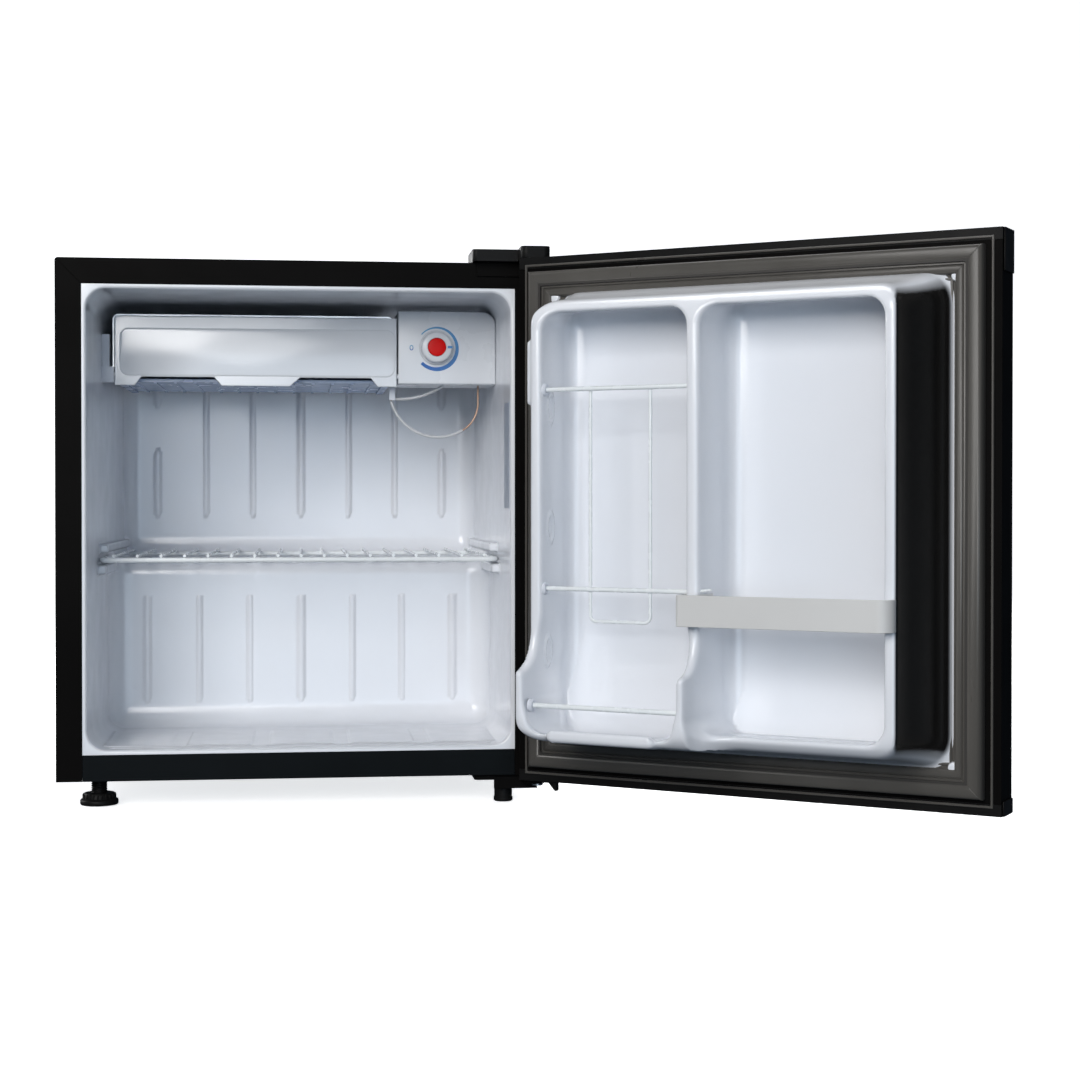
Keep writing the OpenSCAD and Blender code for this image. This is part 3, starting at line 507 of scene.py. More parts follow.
def relaxed(points, quads):
    """Points moved half-way to the middle of their neighbours; those on an open edge stay."""
    near = np.zeros_like(points)
    links = np.zeros(len(points))
    for i in range(4):
        j = (i + 1) % 4
        np.add.at(near, quads[:, i], points[quads[:, j]])
        np.add.at(near, quads[:, j], points[quads[:, i]])
        np.add.at(links, quads[:, i], 1)
        np.add.at(links, quads[:, j], 1)
    few = links < 7.5
    middle = near / np.maximum(links, 1)[:, None]
    return np.where(few[:, None], points, points * 0.5 + middle * 0.5)


def field_surface(field, xs, ys, zs, relax):
    """The surface where a field is zero: quads over the grid cells it crosses, pulled onto it."""
    axes = [np.array(a, float) for a in (xs, ys, zs)]
    grid = np.stack(np.meshgrid(*axes, indexing="ij"), -1).reshape(-1, 3)
    value = field(grid).reshape([len(a) for a in axes])
    cells = tuple(n - 1 for n in value.shape)
    total = np.zeros(cells + (3,))
    count = np.zeros(cells)
    crossings = []
    for axis in range(3):
        edges, at, first_in = sign_changes(value, axes, axis)
        for cell in cells_round(edges, axis, ((0, 0), (0, 1), (1, 0), (1, 1))):
            ok = ((cell >= 0) & (cell < np.array(cells))).all(axis=1)
            where = tuple(cell[ok].T)
            np.add.at(total, where, at[ok])
            np.add.at(count, where, 1)
        crossings.append((axis, edges, first_in))
    used = count > 0
    number = np.full(cells, -1)
    number[used] = np.arange(used.sum())
    points = total[used] / count[used][:, None]
    faces = []
    for axis, edges, first_in in crossings:
        d1, d2 = [d for d in range(3) if d != axis]
        inner = ((edges[:, d1] > 0) & (edges[:, d1] < cells[d1])
                 & (edges[:, d2] > 0) & (edges[:, d2] < cells[d2]))
        around = cells_round(edges[inner], axis, ((1, 1), (0, 1), (0, 0), (1, 0)))
        quad = np.stack([number[tuple(cell.T)] for cell in around], 1)
        keep = first_in[inner] if axis != 1 else ~first_in[inner]
        quad[~keep] = quad[~keep][:, ::-1]
        faces.append(quad)
    quads = np.concatenate(faces)
    points = pulled(field, points)
    for _ in range(relax):
        points = pulled(field, relaxed(points, quads))
    g = slope(field, points)
    g /= np.maximum(np.linalg.norm(g, axis=1), 1e-9)[:, None]
    return points, quads.tolist(), g


def grid_lines(*stops):
    """Grid lines: stops are position, spacing, position, spacing, ..., position."""
    lines = [np.array([stops[0]], float)]
    for i in range(0, len(stops) - 2, 2):
        a, gap, b = stops[i:i + 3]
        lines.append(np.linspace(a, b, max(1, round((b - a) / gap)) + 1)[1:])
    return np.concatenate(lines)


# ---------------------------------------------------------------- inner liner

FLANGE = 23.7
RIM = 4.0
OPEN_HALF = HALF - FLANGE - RIM
OPEN_LOW = FLANGE + 0.6 + RIM
OPEN_HIGH = CAB_H - FLANGE - RIM
LOW_BACK = 200.0
HIGH_BACK = 352.0
STEP_Z = 195.0
LINER_R = 18.0
DRAFT = 0.0135  # how much each side wall closes in for a millimetre of depth
RIB_PITCH = 51.7
RIB_R = 3.4
RIB_HEIGHT = 1.5
LOW_RIBS = (54.0, 158.0)
TALL_RIBS = (242.0, 385.0)
RIB_GAP = (310.0, 360.0)  # the outermost tall ribs stop here
PAD_PITCH = 76.0


def drafted(p):
    """Points with X stretched, so that a straight box comes out narrower at its back."""
    q = p.copy()
    q[:, 0] = p[:, 0] * OPEN_HALF / (OPEN_HALF - DRAFT * np.maximum(p[:, 1], 0))
    return q


def ribs(p, z_low, z_high):
    """Upright ribs with round ends, as a height over the back wall."""
    index = np.clip(np.round(p[:, 0] / RIB_PITCH), -3, 3)
    across = p[:, 0] - index * RIB_PITCH
    along = p[:, 2] - np.clip(p[:, 2], z_low, z_high)
    away = (across ** 2 + along ** 2) / RIB_R ** 2
    return RIB_HEIGHT * np.clip(1 - away, 0, 1)


def floor_pads(p):
    """Flat raised pads on the floor, and a long line in front of them."""
    index = np.clip(np.round(p[:, 0] / PAD_PITCH), -2, 2)
    x = np.abs(p[:, 0] - index * PAD_PITCH) - 30
    y = np.abs(p[:, 1] - 82) - 56
    pads = 0.9 * np.clip(0.5 - np.maximum(x, y) / 2.4, 0, 1)
    line = 0.8 * np.clip(1 - ((p[:, 1] - 17) / 2.6) ** 2, 0, 1)
    line = line * np.clip((178 - np.abs(p[:, 0])) / 6, 0, 1)
    return pads + line


def shelf_guides(p, space):
    """The space without the ledge under the wire shelf and the shorter rib over it, each side."""
    for side in (-1, 1):
        x0, x1 = sorted((side * (OPEN_HALF - 10), side * (OPEN_HALF + 40)))
        over = round_box(p, (x0, 104, 207), (x1, FAR, 215), 1.6)
        under = round_box(p, (x0, 86, 186), (x1, 230, 195), 1.8)
        space = cut(cut(space, over, 2.5), under, 2.5)
    return space


def cavity(p):
    """The liner's inside space, negative inside."""
    q = drafted(p)
    space = round_box(q, (-OPEN_HALF, -FAR, OPEN_LOW), (OPEN_HALF, HIGH_BACK, OPEN_HIGH), LINER_R)
    step = common(LOW_BACK - p[:, 1], p[:, 2] - STEP_Z, 15)
    space = shelf_guides(p, cut(space, step, 24))
    low_wall = (p[:, 1] > LOW_BACK - 14) & (p[:, 1] < LOW_BACK + 9) & (p[:, 2] < STEP_Z - 13)
    space = space + np.where(low_wall, ribs(p, *LOW_RIBS), 0)
    high_wall = p[:, 1] > HIGH_BACK - 9
    outermost = np.abs(p[:, 0]) > 2.5 * RIB_PITCH
    broken = np.maximum(ribs(p, TALL_RIBS[0], RIB_GAP[0]), ribs(p, RIB_GAP[1], TALL_RIBS[1]))
    tall = np.where(outermost, broken, ribs(p, *TALL_RIBS))
    space = space + np.where(high_wall, tall, 0)
    floor = p[:, 2] < OPEN_LOW + 6
    return space + np.where(floor, floor_pads(p), 0)


def build_inner_liner():
    """The thermoformed inside, with grid lines drawn closer at corners, ribs, step and ledges."""
    edge = OPEN_HALF + 3
    rib_lines = [i * RIB_PITCH + d for i in range(-3, 4) for d in (-4, -2.6, -1.3, 0, 1.3, 2.6, 4)]
    coarse = grid_lines(-edge, 1.6, -edge + 30, 5, edge - 30, 1.6, edge)
    coarse = [x for x in coarse if min(abs(x - r) for r in rib_lines) > 1.2]
    xs = np.sort(np.concatenate([coarse, rib_lines]))
    ys = grid_lines(2, 2.2, 30, 5, 90, 3, 180, 1.6, 210, 5, 325, 1.6, 356)
    zs = grid_lines(OPEN_LOW - 3, 1.6, OPEN_LOW + 22, 4, 176, 1.5, 222, 4, OPEN_HIGH - 22, 1.8,
                    OPEN_HIGH + 3)
    points, faces, normals = field_surface(cavity, xs, ys, zs, 1)
    faces = [face[::-1] for face in faces]
    add("inner_liner_shell", points, faces, "cabinet", "inner_liner", normals=-normals)


def build_liner_rim():
    """The liner's rolled front edge, out to the cabinet's flange."""
    roll = 2.4
    front = 0.5
    rings = [(-0.06, 12, LINER_R)]
    for a in np.linspace(0, math.pi / 2, 7):
        grow = roll * (1 - math.cos(a))
        rings.append((grow, front + roll * (1 - math.sin(a)), LINER_R + grow))
    rings.append((RIM + 0.4, front, 0.8))
    rings.append((RIM + 0.4, 2.6, 0.8))
    loops = []
    for grow, depth, r in rings:
        w = OPEN_HALF - DRAFT * depth + grow
        outline = round_rect(-w, w, OPEN_LOW - grow, OPEN_HIGH + grow, r, 10)
        loops.append([(x, depth, z) for x, z in outline])
    points, faces = loft(loops)
    add_beside("inner_liner_rim", points, faces, "cabinet", "liner_white", sharp=60)


def build_label():
    """The printed film stuck on the leaning right wall."""
    low, high = cab_box("liner_label")
    rings = []
    for y in np.linspace(low[1], high[1], 5):
        wall = OPEN_HALF - DRAFT * max(y, 0)
        rings.append([(wall + 0.3, y, low[2]), (wall + 0.3, y, high[2]),
                      (wall - 0.35, y, high[2]), (wall - 0.35, y, low[2])])
    points, faces = loft(rings, caps=(True, True))
    add("liner_label_film", points, faces, "cabinet", "liner_label")


# ---------------------------------------------------------------- door liner

DOOR_IN = -12.0
DOOR_LOW = 2.0
DOOR_TOP = 478.0
TUB_LOW = 50.0
TUB_HIGH = 431.0
TUB_REACH = 70.0
TROUGH_REACH = 97.0
LEFT_X = HALF - 53.7
RIGHT_X = HALF - 384.4
DIV_LEFT = HALF - 201.7
WALL = 12.0
LIP_MIDDLE = HALF - 134
LIP_HALF = 50
FLOOR_Y = -9.0  # how deep the shelves' back goes into the door
EMBOSS_Z = (338.0, 234.0, 126.5)


def spread(p):
    """Points squeezed towards the tub's middle near the door, so its outside walls lean."""
    q = p.copy()
    depth = np.clip((TUB_REACH - p[:, 1]) / (TUB_REACH - DOOR_IN), 0, 1) ** 1.6
    right, left, low, top = 19.0 * depth, 8.5 * depth, 10.0 * depth, 13.0 * depth
    q[:, 0] += np.where(p[:, 0] < -60, right * np.clip((-60 - p[:, 0]) / 80, 0, 1.2), 0)
    q[:, 0] -= np.where(p[:, 0] > 90, left * np.clip((p[:, 0] - 90) / 60, 0, 1.2), 0)
    q[:, 2] += low * np.clip((100 - p[:, 2]) / 50, 0, 1.2)
    q[:, 2] -= top * np.clip((p[:, 2] - 375) / 56, 0, 1.2)
    return q


def rounded_block(q, low, high, face_r, rim_r):
    """A box whose outline is rounded by face_r seen from the side, and its front rim by rim_r."""
    (x0, y0, z0), (x1, y1, z1) = low, high
    side_view = round_box(q, (-FAR, y0, z0), (FAR, y1, z1), face_r)
    top_view = round_box(q, (x0, y0, -FAR), (x1, y1, FAR), 5)
    front_view = round_box(q, (x0, -FAR, z0), (x1, FAR, z1), face_r)
    return common(common(side_view, front_view, rim_r), top_view, rim_r)


def tub_outside(p, q):
    """The shelves as one closed block: a tall part, a deeper trough at the lower left, a lip."""
    body = rounded_block(q, (RIGHT_X, -FAR, TUB_LOW), (LEFT_X, TROUGH_REACH, TUB_HIGH), 24, 5)
    tall = rounded_block(q, (RIGHT_X, -FAR, TUB_LOW), (LEFT_X, TUB_REACH, TUB_HIGH), 24, 5)
    trough = np.maximum(p[:, 2] - 112, DIV_LEFT - WALL - p[:, 0])
    body = np.maximum(body, merged(common(body, trough, 6), tall, 34))
    lip = round_box(q, (LIP_MIDDLE - LIP_HALF, 60, TUB_LOW + 2.4),
                    (LIP_MIDDLE + LIP_HALF, TROUGH_REACH - 2.4, 66), 5)
    return merged(body, lip, 5)


def can_space(p, q):
    """The hollow for cans, with a sloping heel and the opening over the trough's front."""
    cans = round_box(q, (DIV_LEFT, FLOOR_Y, TUB_LOW + 24), (LEFT_X - WALL, FAR, TUB_HIGH - WALL),
                     16)
    heel = np.clip((150 - p[:, 2]) / 100, 0, 1) ** 2
    cans = np.maximum(cans, FLOOR_Y + 34 * heel - p[:, 1])
    low_cans = rounded_block(q, (DIV_LEFT, 6, TUB_LOW + 5),
                             (LEFT_X - WALL, TROUGH_REACH - 6, 122), 20, 6)
    opening = round_box(p, (DIV_LEFT + 2, 30, 61), (LEFT_X - WALL - 2, FAR, 150), 10)
    lip_rise = np.clip((LIP_HALF - np.abs(p[:, 0] - LIP_MIDDLE)) / 4, 0, 1)
    return merged(cans, merged(low_cans, opening + 3.4 * lip_rise, 8), 14)


def bottle_space(p, q):
    """The tall hollow for bottles, its back curving forward at the foot."""
    bottles = round_box(q, (RIGHT_X + WALL, FLOOR_Y, TUB_LOW + 14),
                        (DIV_LEFT - WALL, FAR, TUB_HIGH - WALL), 16)
    foot = np.clip((110 - p[:, 2]) / 60, 0, 1) ** 2
    return np.maximum(bottles, FLOOR_Y + 22 * foot - p[:, 1])


def tub(p):
    """The moulded door shelves, negative inside the plastic."""
    q = spread(p)
    return cut(cut(tub_outside(p, q), can_space(p, q), 6), bottle_space(p, q), 6)


def embosses(p):
    """Oval rings pressed into the shelves' hinge-side wall, as a height."""
    wall = (p[:, 0] > LEFT_X - WALL - 4) & (p[:, 0] < LEFT_X - WALL + 6)
    height = np.zeros(len(p))
    for z in EMBOSS_Z:
        away = np.hypot((p[:, 1] - 48) * 1.15, (p[:, 2] - z) * 0.62)
        height += 1.1 * np.clip(1 - ((away - 7.5) / 2.8) ** 2, 0, 1) ** 2
    return np.where(wall, height, 0)


def door_form(p):
    """The whole door liner: flat plate, shelves, and the soft fillets between them."""
    plate = np.maximum(np.abs(p[:, 1] + 11.2) - 1.0,
                       round_box(p, (-208.2, -FAR, 16.3), (208.2, FAR, 463.7), 4))
    within = ((p[:, 0] > RIGHT_X - 2) & (p[:, 0] < LEFT_X + 2)
              & (p[:, 2] > TUB_LOW + 4) & (p[:, 2] < TUB_HIGH - 2))
    inner_fillet, outer_fillet = 26.0, 7.0
    form = merged(plate, tub(p), np.where(within, inner_fillet, outer_fillet))
    tab = round_box(p, (LEFT_X - 4, 42, 340), (LEFT_X + 3.4, 66, 396), 2.6)
    return merged(form, tab, 2.5) - embosses(p)


def build_door_liner():
    """The door's thermoformed liner, with painted shade for the shadow on its outer side as an
    attribute.
    """
    xs = grid_lines(-211, 4, -184, 2.0, -146, 5, 2, 1.6, 26, 5, 146, 1.6, 182, 4, 211)
    ys = grid_lines(-14, 1.8, 6, 3.0, 36, 1.8, 100)
    zs = grid_lines(13, 5, 44, 1.6, 132, 3, 402, 1.8, 438, 5, 467)
    points, faces, normals = field_surface(door_form, xs, ys, zs, 2)
    shell = add("door_liner_shell", points, faces, "door", "door_liner", on_door=True,
                normals=normals)
    # painted shade: the outer side facing away from the hinge is marked near black, standing in for
    # the shadow it lies in
    outside = (points[:, 0] < RIGHT_X + 7) & (points[:, 1] > DOOR_IN + 1.5)
    painted_shade_weight = np.clip((-normals[:, 0] - 0.6) / 0.25, 0, 1)
    shade = shell.data.attributes.new(PAINTED_SIDE_SHADE, "FLOAT", "POINT")
    shade.data.foreach_set("value", np.where(outside, painted_shade_weight, 0).astype(np.float32))


def build_nubs():
    """The four round nubs near the liner's corners."""
    profile = [(5, DOOR_IN + 1), (5, -7.4), (4.1, -5.9), (1.4, -5.2)]
    nubs = Shape()
    for x, z in ((HALF - 39, 440), (-HALF + 36, 440), (-HALF + 38, 40), (HALF - 39, 40)):
        nubs.join(*lathe(profile, (x, 0, z), "y", 24))
    add_beside("door_liner_nubs", nubs.points, nubs.faces, "door", "liner_white", on_door=True)


# ---------------------------------------------------------------- gasket and door edge


GASKET_INSET = 13.6
CHANNEL_INSET = 6.6


def frame_rings(profile, start):
    """Square-cornered rings round the door, from (distance inward of the start, Y) pairs."""
    rings = []
    for inset, y in profile:
        x, low, high = HALF - inset - start, DOOR_LOW + inset + start, DOOR_TOP - inset - start
        rings.append([(x, y, high), (-x, y, high), (-x, y, low), (x, y, low)])
    return rings


def build_gasket():
    """The seal's folded section run round the door, its mitred corners, and its channel."""
    bead = [(0, -11.9), (0, -7), (0.5, -3.4), (2, -1.4), (4, -0.6), (9.5, -0.6), (11.5, -1.4),
            (12.3, -3), (12.9, -4.4), (13.9, -3.8), (14.6, -3.4), (15.6, -3.4), (16.2, -4.6),
            (16.8, -3.8), (18.4, -3.4), (21.5, -3.8), (23, -5), (23.6, -8.6), (25.8, -8.8),
            (26.2, -7.6), (27.4, -7.2), (28.2, -8.2), (28.4, -11.2)]
    points, faces = loft(frame_rings(bead, GASKET_INSET))
    obj = add("gasket_seal", points, faces, "door", "gasket", on_door=True, sharp=50)
    obj.data.flip_normals()
    mitres = Shape()
    for corner in zip(*frame_rings(bead[1:-1], GASKET_INSET)):
        mitres.join(*tube(corner, 0.3, 6))
    add_beside("gasket_mitres", mitres.points, mitres.faces, "door", "gasket_rubber",
               on_door=True)
    trim = [(0, -12.2), (0, -10.9), (0.5, -10.4), (1.5, -10.4), (2, -10.9), (2, -12.2)]
    points, faces = loft(frame_rings(trim, CHANNEL_INSET))
    strip = add_beside("gasket_channel", points, faces, "door", "gasket_rubber", on_door=True)
    strip.data.flip_normals()


# ---------------------------------------------------------------- freezer and thermostat

FRONT_Y = 125.0  # the flap's and the thermostat box's shared front face
FLAP_PIN_Z = 380.3
PRINT_Y = FRONT_Y - 0.14


def build_flap():
    """The flap's sheet, with two legs and a middle tongue between its two cut-outs."""
    low, high = cab_box("freezer_flap")
    x0, x1 = low[0] + 6, high[0] - 3.6
    z0, z1 = low[2], high[2]
    notch = z0 + 8.5
    outline = [(x0, z1), (x0, z0), (x0 + 19.2, z0), (x0 + 25.5, notch), (x0 + 95.7, notch),
               (x0 + 103.2, z0), (x1 - 105.3, z0), (x1 - 94.9, notch), (x1 - 25.6, notch),
               (x1 - 18.6, z0), (x1, z0), (x1, z1)]
    points, faces = prism(outline, FRONT_Y, FRONT_Y + 3)
    sheet = add("freezer_flap_panel", points, faces, "freezer_flap", "freezer_flap")
    bevel(sheet, 0.9)
    relief = Shape()
    loops = []
    for inset, rise in ((0, -0.4), (0.2, 0.2), (0.8, 0.6), (1.8, 0.7)):
        panel = round_rect(x0 + 4.5 + inset, x1 - 1.2 - inset, notch + 0.9 + inset,
                           z1 - 11.5 - inset, 9 - inset, 8)
        loops.append([(x, FRONT_Y - rise, z) for x, z in panel])
    relief.join(*loft(loops, caps=(False, True)))
    hem = round_rect(x0 + 0.6, x1 - 0.6, z1 - 2.4, z1, 1.0, 3)
    relief.join(*prism(hem, FRONT_Y + 2.5, FRONT_Y + 7))
    for x, out in ((x0, -6), (x1, 3.6)):
        join_flap_pin(relief, x, out)
    add_beside("freezer_flap_relief", relief.points, relief.faces, "freezer_flap", "flap_white")


def join_flap_pin(shape, x, out):
    """A knuckle inside the flap's end at x, and the pin that stands out of it."""
    centre = (0, FRONT_Y + 5, FLAP_PIN_Z)
    a, b = sorted((x - math.copysign(8, out), x + out * 0.02))
    shape.join(*lathe([(3.9, a), (4.4, a + 0.5), (4.4, b - 0.5), (3.9, b)], centre, "x", 28))
    a, b = sorted((x, x + out))
    shape.join(*lathe([(2.2, a), (2.5, a + 0.4), (2.5, b - 0.4), (2.0, b)], centre, "x", 24))


def build_thermostat():
    """The thermostat's box, with one large and one small round on its front edge."""
    low, high = cab_box("thermostat_box")
    x0, x1, z0, z1, r = low[0], high[0], low[2], high[2], 13
    loops = []
    for inset, y in ((0, high[1]), (0, FRONT_Y + 1.6), (0.25, FRONT_Y + 0.8),
                     (0.8, FRONT_Y + 0.2), (1.6, FRONT_Y)):
        outline = [(x0 + inset, z0 + inset), (x1 - inset, z0 + inset)]
        outline += arc(x1 - r, z1 - r, r - inset, 0, 90, 10)
        outline.append((x0 + inset, z1 - inset))
        loops.append([(x, y, z) for x, z in outline])
    points, faces = loft(loops, caps=(False, True))
    box = add("thermostat_cover", points, faces, "cabinet", "thermostat_box", sharp=25)
    box.data.flip_normals()


def build_knob():
    """The turned knob, open at its middle for the red cap."""
    low, high = cab_box("knob")
    x, z = (low[0] + high[0]) / 2, (low[2] + high[2]) / 2
    r = (high[0] - low[0]) / 2
    top = low[1]
    skirt = [(r - 0.3, FRONT_Y - 0.6), (r, FRONT_Y - 1), (r, FRONT_Y - 2.4),
             (r - 0.5, FRONT_Y - 3), (r - 1.4, FRONT_Y - 3.4), (r - 2, top + 1.4),
             (r - 2.5, top + 0.5), (r - 3.4, top), (9.6, top), (9.2, top + 0.4), (9.2, top + 3)]
    points, faces = lathe(skirt, (x, 0, z), "y", 96)
    add("knob_body", points, faces, "thermostat_knob", "knob", sharp=40).data.flip_normals()
    cap = [(8.9, top + 3), (8.9, top + 0.2), (8.6, top - 0.3), (7.6, top - 0.6), (3, top - 0.6)]
    points, faces = lathe(cap, (x, 0, z), "y", 72)
    add("knob_cap_red", points, faces, "thermostat_knob", "knob_cap", sharp=40).data.flip_normals()


def build_dial():
    """The printed arc that widens clockwise round the knob, and the ring that stands for zero."""
    low, high = cab_box("knob")
    x, z = (low[0] + high[0]) / 2, (low[2] + high[2]) / 2
    under = FRONT_Y + 0.1
    inner = 19.2
    start, sweep = 138, 272
    shape = Shape()
    rings = []
    for t in np.linspace(0, 1, 97):
        a = math.radians(start - t * sweep)
        outer = inner + 1.0 + 3.0 * min(1, t * 1.5) * (1 - 0.25 * max(0, t - 0.8) / 0.2)
        c, s = math.cos(a), math.sin(a)
        rings.append([(x + r * c, y, z + r * s) for r, y in
                      ((inner, under), (inner, PRINT_Y), (outer, PRINT_Y), (outer, under))])
    shape.join(*loft(rings, caps=(True, True)))
    turns = np.radians(np.arange(0, 360, 15))
    zero = []
    for w, h, y in ((1.1, 1.9, under), (1.1, 1.9, PRINT_Y), (1.9, 2.7, PRINT_Y), (1.9, 2.7, under)):
        zero.append([(x - 24.6 + w * math.cos(a), y, z + h * math.sin(a)) for a in turns])
    shape.join(*loft(zero))
    add("dial_marks", shape.points, shape.faces, "cabinet", "dial_print")


# ---------------------------------------------------------------- wires, bar and feet


UPPER_ROD = (60, 353)  # depth and height of each rod across the can column
LOWER_ROD = (60, 181.5)
TROUGH_ROD = (84, 82.5)
ROD_END = LEFT_X - WALL + 0.6


def build_rack():
    """Two rods across the can column with the U-shaped guard welded behind them."""
    x0 = cab_door_box("can_rack")[0][0]
    wires = Shape()
    for y, z in (UPPER_ROD, LOWER_ROD):
        wires.join(*tube([(x0 - 0.5, y, z), (ROD_END + 0.5, y, z)], 2.0, 20))
    u0, u1, top = HALF - 165, HALF - 108.5, UPPER_ROD[1]
    path = rounded_path([(u0, 57.4, top), (u0, 57.4, 154), (u1, 57.4, 154), (u1, 57.4, top)], 5.5)
    wires.join(*tube(path, 1.5, 16))
    y, z = LOWER_ROD
    wires.join(*tube([(x0, y, z), (x0 - 22, y + 4, z + 2)], 1.1, 12))
    add("can_rack_wires", wires.points, wires.faces, "door", "can_rack", on_door=True)


def build_trough_rod():
    """The rod across the trough."""
    x0 = cab_door_box("can_rack")[0][0]
    y, z = TROUGH_ROD
    points, faces = tube([(x0 - 0.5, y, z), (ROD_END + 0.5, y, z)], 2.2, 20)
    add("trough_rod_wire", points, faces, "door", "trough_rod", on_door=True)


def build_collars():
    """The moulded collar round each rod's hinge-side end."""
    profile = [(2.3, ROD_END + 1.0), (2.3, ROD_END - 2.2), (3.0, ROD_END - 3.0),
               (4.6, ROD_END - 2.8), (5.6, ROD_END - 1.6), (5.8, ROD_END + 1.0)]
    rings = Shape()
    for y, z in (UPPER_ROD, LOWER_ROD, TROUGH_ROD):
        rings.join(*lathe(profile, (0, y, z), "x", 32))
    add("rod_collars", rings.points, rings.faces, "door", "rod_ferrules", on_door=True)


def build_bar():
    """The flat bar: one bent strip with rounded edges, and its short inner leg."""
    low, high = cab_door_box("retainer_bar")
    x0, x1, z0, z1, t = low[0], high[0], low[2], high[2], 2.2
    front, back = high[1] - t / 2, high[1] - t / 2 - 40
    inner = DIV_LEFT - WALL - 2
    corners = [(x0 + t / 2, front - 13, 0), (x0 + t / 2, front, 0), (x1 - t / 2, front, 0),
               (x1 - t / 2, back, 0)]
    path = rounded_path(corners[:3], 11.5)[:-1] + rounded_path(corners[1:], 2.2)[1:]
    leg = [np.array((inner, front - 0.6, 0)), np.array((inner, back, 0))]
    strip = Shape()
    strip.join(*strip_along(path, z0, z1, t))
    strip.join(*strip_along(leg, z0, z1, t))
    obj = add("retainer_bar_strip", strip.points, strip.faces, "door", "retainer_bar",
              on_door=True, sharp=50)
    bevel(obj, 0.5, 2)


def strip_along(path, z0, z1, t):
    """A flat strip standing on its edge along a path in X and Y."""
    rings = []
    for i, p in enumerate(path):
        ahead = path[min(i + 1, len(path) - 1)] - path[max(i - 1, 0)]
        ahead = ahead / np.linalg.norm(ahead)
        side = np.array((ahead[1], -ahead[0])) * t / 2
        a, b = p[:2] + side, p[:2] - side
        rings.append([(a[0], a[1], z0), (a[0], a[1], z1), (b[0], b[1], z1), (b[0], b[1], z0)])
    return loft(rings, caps=(True, True))


def middle_of(node):
    """A CAD node's middle in X and Y, its lowest and its highest point."""
    low, high = cab_box(node)
    return (low[0] + high[0]) / 2, (low[1] + high[1]) / 2, low[2], high[2]


def build_foot_pad():
    """The levelling foot's disc, with a ribbed grip round its collar."""
    x, y, bottom, _ = middle_of("foot_pad")
    pad = [(14.5, bottom), (17.0, bottom + 0.3), (17.5, bottom + 1.2), (17.5, bottom + 4.2),
           (16.8, bottom + 5.2), (15.0, bottom + 6.0), (14.6, bottom + 9.8), (13.6, bottom + 11),
           (7.8, bottom + 11), (7.6, bottom + 7.2)]
    rib = [(0.5, bottom + 5.8), (0.9, bottom + 6.2), (0.9, bottom + 9.6), (0.4, bottom + 10.4)]
    grip_r, rib_count = 14.6, 24
    shape = Shape().join(*lathe(pad, (x, y, 0), "z", 72))
    for a in np.arange(rib_count) * 2 * math.pi / rib_count:
        shape.join(*lathe(rib, (x + grip_r * math.cos(a), y + grip_r * math.sin(a), 0), "z", 8))
    add("foot_pad_disc", shape.points, shape.faces, "foot_pad", "foot_pad")


def build_foot_stud():
    """The foot's stud with its coarse thread as one helix."""
    x, y, bottom, _ = middle_of("foot_pad")
    r, turns, pitch, sides = 6.6, 13, 2.0, 36
    stud = Shape()
    stud.join(*lathe([(r, bottom + 7.4), (r, 6.4), (5.8, 8.6)], (x, y, 0), "z", 40))
    helix = []
    for k in range(turns * sides):
        a = 2 * math.pi * k / sides
        helix.append((x + r * math.cos(a), y + r * math.sin(a), bottom + 8.4 + pitch * k / sides))
    stud.join(*tube(helix, 0.75, 8))
    add("foot_stud_thread", stud.points, stud.faces, "foot_stud", "foot_stud")


def build_hinge_foot():
    """The plain post under the lower hinge bracket."""
    x, y, bottom, top = middle_of("hinge_foot")
    post = [(8, bottom), (9, bottom + 0.8), (9, bottom + 4), (8.4, bottom + 4.6), (8.4, top - 1),
            (8, top)]
    points, faces = lathe(post, (x, y, 0), "z", 48)
    add("hinge_foot_post", points, faces, "cabinet", "hinge_foot")


def build_seams():
    """The seams of the flange's two upper corners."""
    seams = Shape()
    for side in (-1, 1):
        outer = (side * (HALF - 1.2), CAB_H - 1.2)
        inner = (side * (HALF - FLANGE + 0.3), CAB_H - FLANGE + 0.3)
        seams.join(*tube([(outer[0], 0.12, outer[1]), (inner[0], 0.12, inner[1])], 0.3, 8))
    add_beside("flange_seams", seams.points, seams.faces, "cabinet", "painted_black")


def build_door_stop():
    """The small stop under the door, near the lower hinge pin: a foot plate and a hooked tip."""
    near, far, under = HALF - 20, HALF - 36, DOOR_LOW + 0.2
    plate = [(far, under - 1.6), (near, under - 1.6), (near, under), (far, under)]
    hook = [(far, under - 1.4), (far, under - 8.6), (far + 1.6, under - 8.6),
            (far + 8, under - 1.4)]
    stop = Shape()
    stop.join(*prism(plate, -24, -15))
    stop.join(*prism(hook, -21, -15.5))
    obj = add_beside("door_stop", stop.points, stop.faces, "door", "black_plastic", on_door=True)
    bevel(obj, 0.3, 2)


# ---------------------------------------------------------------- whole object


def dress_cad():
    """Procedural materials for every CAD node that stays, and small radii on the flat ones."""
    for node, obj in frame["nodes"].items():
        obj.data.materials.clear()
        obj.data.materials.append(MATERIAL[SLOT_OF[node]])
    radii = {"outer_shell": 0.8, "base_rail": 0.4, "door_skin": 0.35, "door_top_cap": 0.6,
             "door_low_cap": 0.6, "top_cover": 1.0, "top_bracket": 0.5, "low_bracket": 0.5,
             "flap_bracket": 0.7, "tray_rails": 0.25, "drip_tray": 0.3, "start_relay": 1.0,
             "bulb_clip": 0.3, "compressor_deck": 0.5, "back_panel": 0.3}
    for node, width in radii.items():
        soften_cad(node, width)


def floor_material():
    """Pale paper that glows a little, so it stays even from every side."""
    n = Nodes("stage_floor")
    n.link(n.ramp(n.noise(2.0), grey(0.9), grey(0.92)), "Base Color")
    n.set(Roughness=0.7, Specular_IOR_Level=0.2, Emission_Color=(0.97, 0.985, 1.0, 1),
          Emission_Strength=0.76)
    return n.material


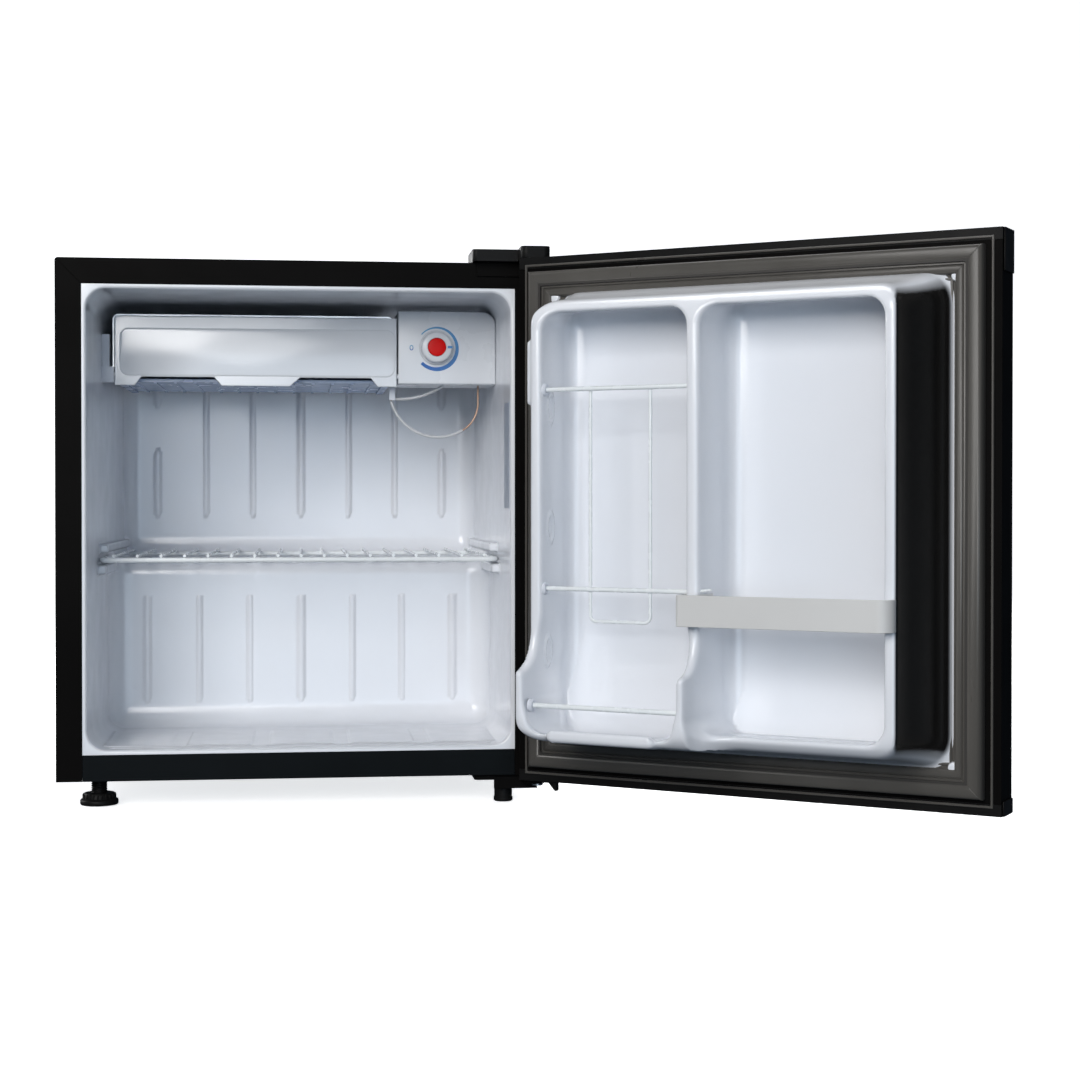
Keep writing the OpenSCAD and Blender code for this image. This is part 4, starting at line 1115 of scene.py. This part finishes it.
def build_stage():
    """A floor that curves up into a back wall. It doesn't light the object or mirror in it."""
    low, high = np.array(cad_box[0]), np.array(cad_box[1])
    near, back, half_wide, tall, r = -14.0, high[1] + 2.4, 14.0, 6.0, 0.8
    gap = 0.0004
    profile = [(near, 0.0), (back - r, 0.0)]
    profile += [(back - r + r * math.sin(a), r - r * math.cos(a))
                for a in np.radians(np.arange(6, 91, 6))]
    profile.append((back, tall))
    points = [(x, y, z + low[2] - gap) for x in (-half_wide, half_wide) for y, z in profile]
    count = len(profile)
    faces = [(i, count + i, count + i + 1, i + 1) for i in range(count - 1)]
    mesh = bpy.data.meshes.new("floor")
    mesh.from_pydata(points, [], faces)
    mesh.polygons.foreach_set("use_smooth", [True] * len(mesh.polygons))
    obj = bpy.data.objects.new("floor", mesh)
    mesh.materials.append(floor_material())
    bpy.context.scene.collection.objects.link(obj)
    obj.visible_diffuse = False
    obj.visible_glossy = False


def area_light(name, where, target, size, power, colour=(1, 1, 1), roll=0):
    """A rectangular soft light that faces its target, turned on its own axis by roll degrees."""
    data = bpy.data.lights.new(name, "AREA")
    data.shape = "RECTANGLE"
    data.size, data.size_y = size
    data.energy = power
    data.color = colour
    obj = bpy.data.objects.new(name, data)
    obj.location = where
    away = np.array(where) - np.array(target)
    tilt = math.atan2(math.hypot(away[0], away[1]), away[2])
    facing = Euler((tilt, 0, math.atan2(away[0], -away[1])))
    turned = facing.to_matrix() @ Matrix.Rotation(math.radians(roll), 3, "Z")
    obj.rotation_euler = turned.to_euler()
    bpy.context.scene.collection.objects.link(obj)


def build_lights():
    """Soft studio lights in metres and watts: the glint is mirrored by the freezer's flap."""
    world = bpy.data.worlds.new("studio")
    bpy.context.scene.world = world
    world.use_nodes = True
    background = world.node_tree.nodes["Background"]
    background.inputs["Color"].default_value = (0.6, 0.76, 1.0, 1)
    background.inputs["Strength"].default_value = 0.07
    area_light("key", (-1.3, -2.7, 1.3), (0, 0, 0.25), (1.7, 1.4), 66, (1.0, 0.98, 0.96))
    area_light("front_fill", (0.3, -3.0, 0.15), (0, 0.1, 0.25), (1.8, 1.0), 16, (0.7, 0.85, 1.0))
    area_light("glint", (-0.506, -2.7, 0.775), (-0.15, 0.125, 0.4), (0.7, 0.4), 5, roll=-29)
    area_light("top_fill", (0.2, 0.5, 2.6), (0.1, 0.2, 0.3), (1.6, 1.2), 22)
    area_light("rear_fill", (0.5, 2.3, 0.9), (0.5, 0, 0.9), (1.6, 1.2), 90)
    area_light("side_fill", (-3.0, 1.7, 1.1), (0, 1.7, 1.1), (1.4, 1.4), 60)


CAMERA_DISTANCE = 1835.2  # in front of the cabinet's face
CAMERA_HEIGHT = 259.5  # over its underside
CAMERA_TURN = 6.914  # degrees to the right of square-on
CAMERA_DIP = 0.643  # degrees below level
CAMERA_LENS = 65.68  # on a sensor 36 mm wide


def build_camera():
    """The camera, fitted to the cabinet's front and the open door."""
    data = bpy.data.cameras.new("camera")
    data.sensor_width = 36
    data.lens = CAMERA_LENS
    data.shift_y = -0.0183
    data.clip_end = 50
    obj = bpy.data.objects.new("camera", data)
    obj.location = to_row([(0, -CAMERA_DISTANCE, CAMERA_HEIGHT)])[0]
    obj.rotation_euler = (math.radians(90 - CAMERA_DIP), 0, math.radians(-CAMERA_TURN))
    bpy.context.scene.collection.objects.link(obj)
    bpy.context.scene.camera = obj


dress_cad()
build_inner_liner()
build_liner_rim()
build_label()
build_door_liner()
build_nubs()
build_gasket()
build_flap()
build_thermostat()
build_knob()
build_dial()
build_rack()
build_trough_rod()
build_collars()
build_bar()
build_foot_pad()
build_foot_stud()
build_hinge_foot()
build_seams()
build_door_stop()
build_stage()
build_lights()
build_camera()
bpy.context.scene.view_settings.view_transform = "Standard"
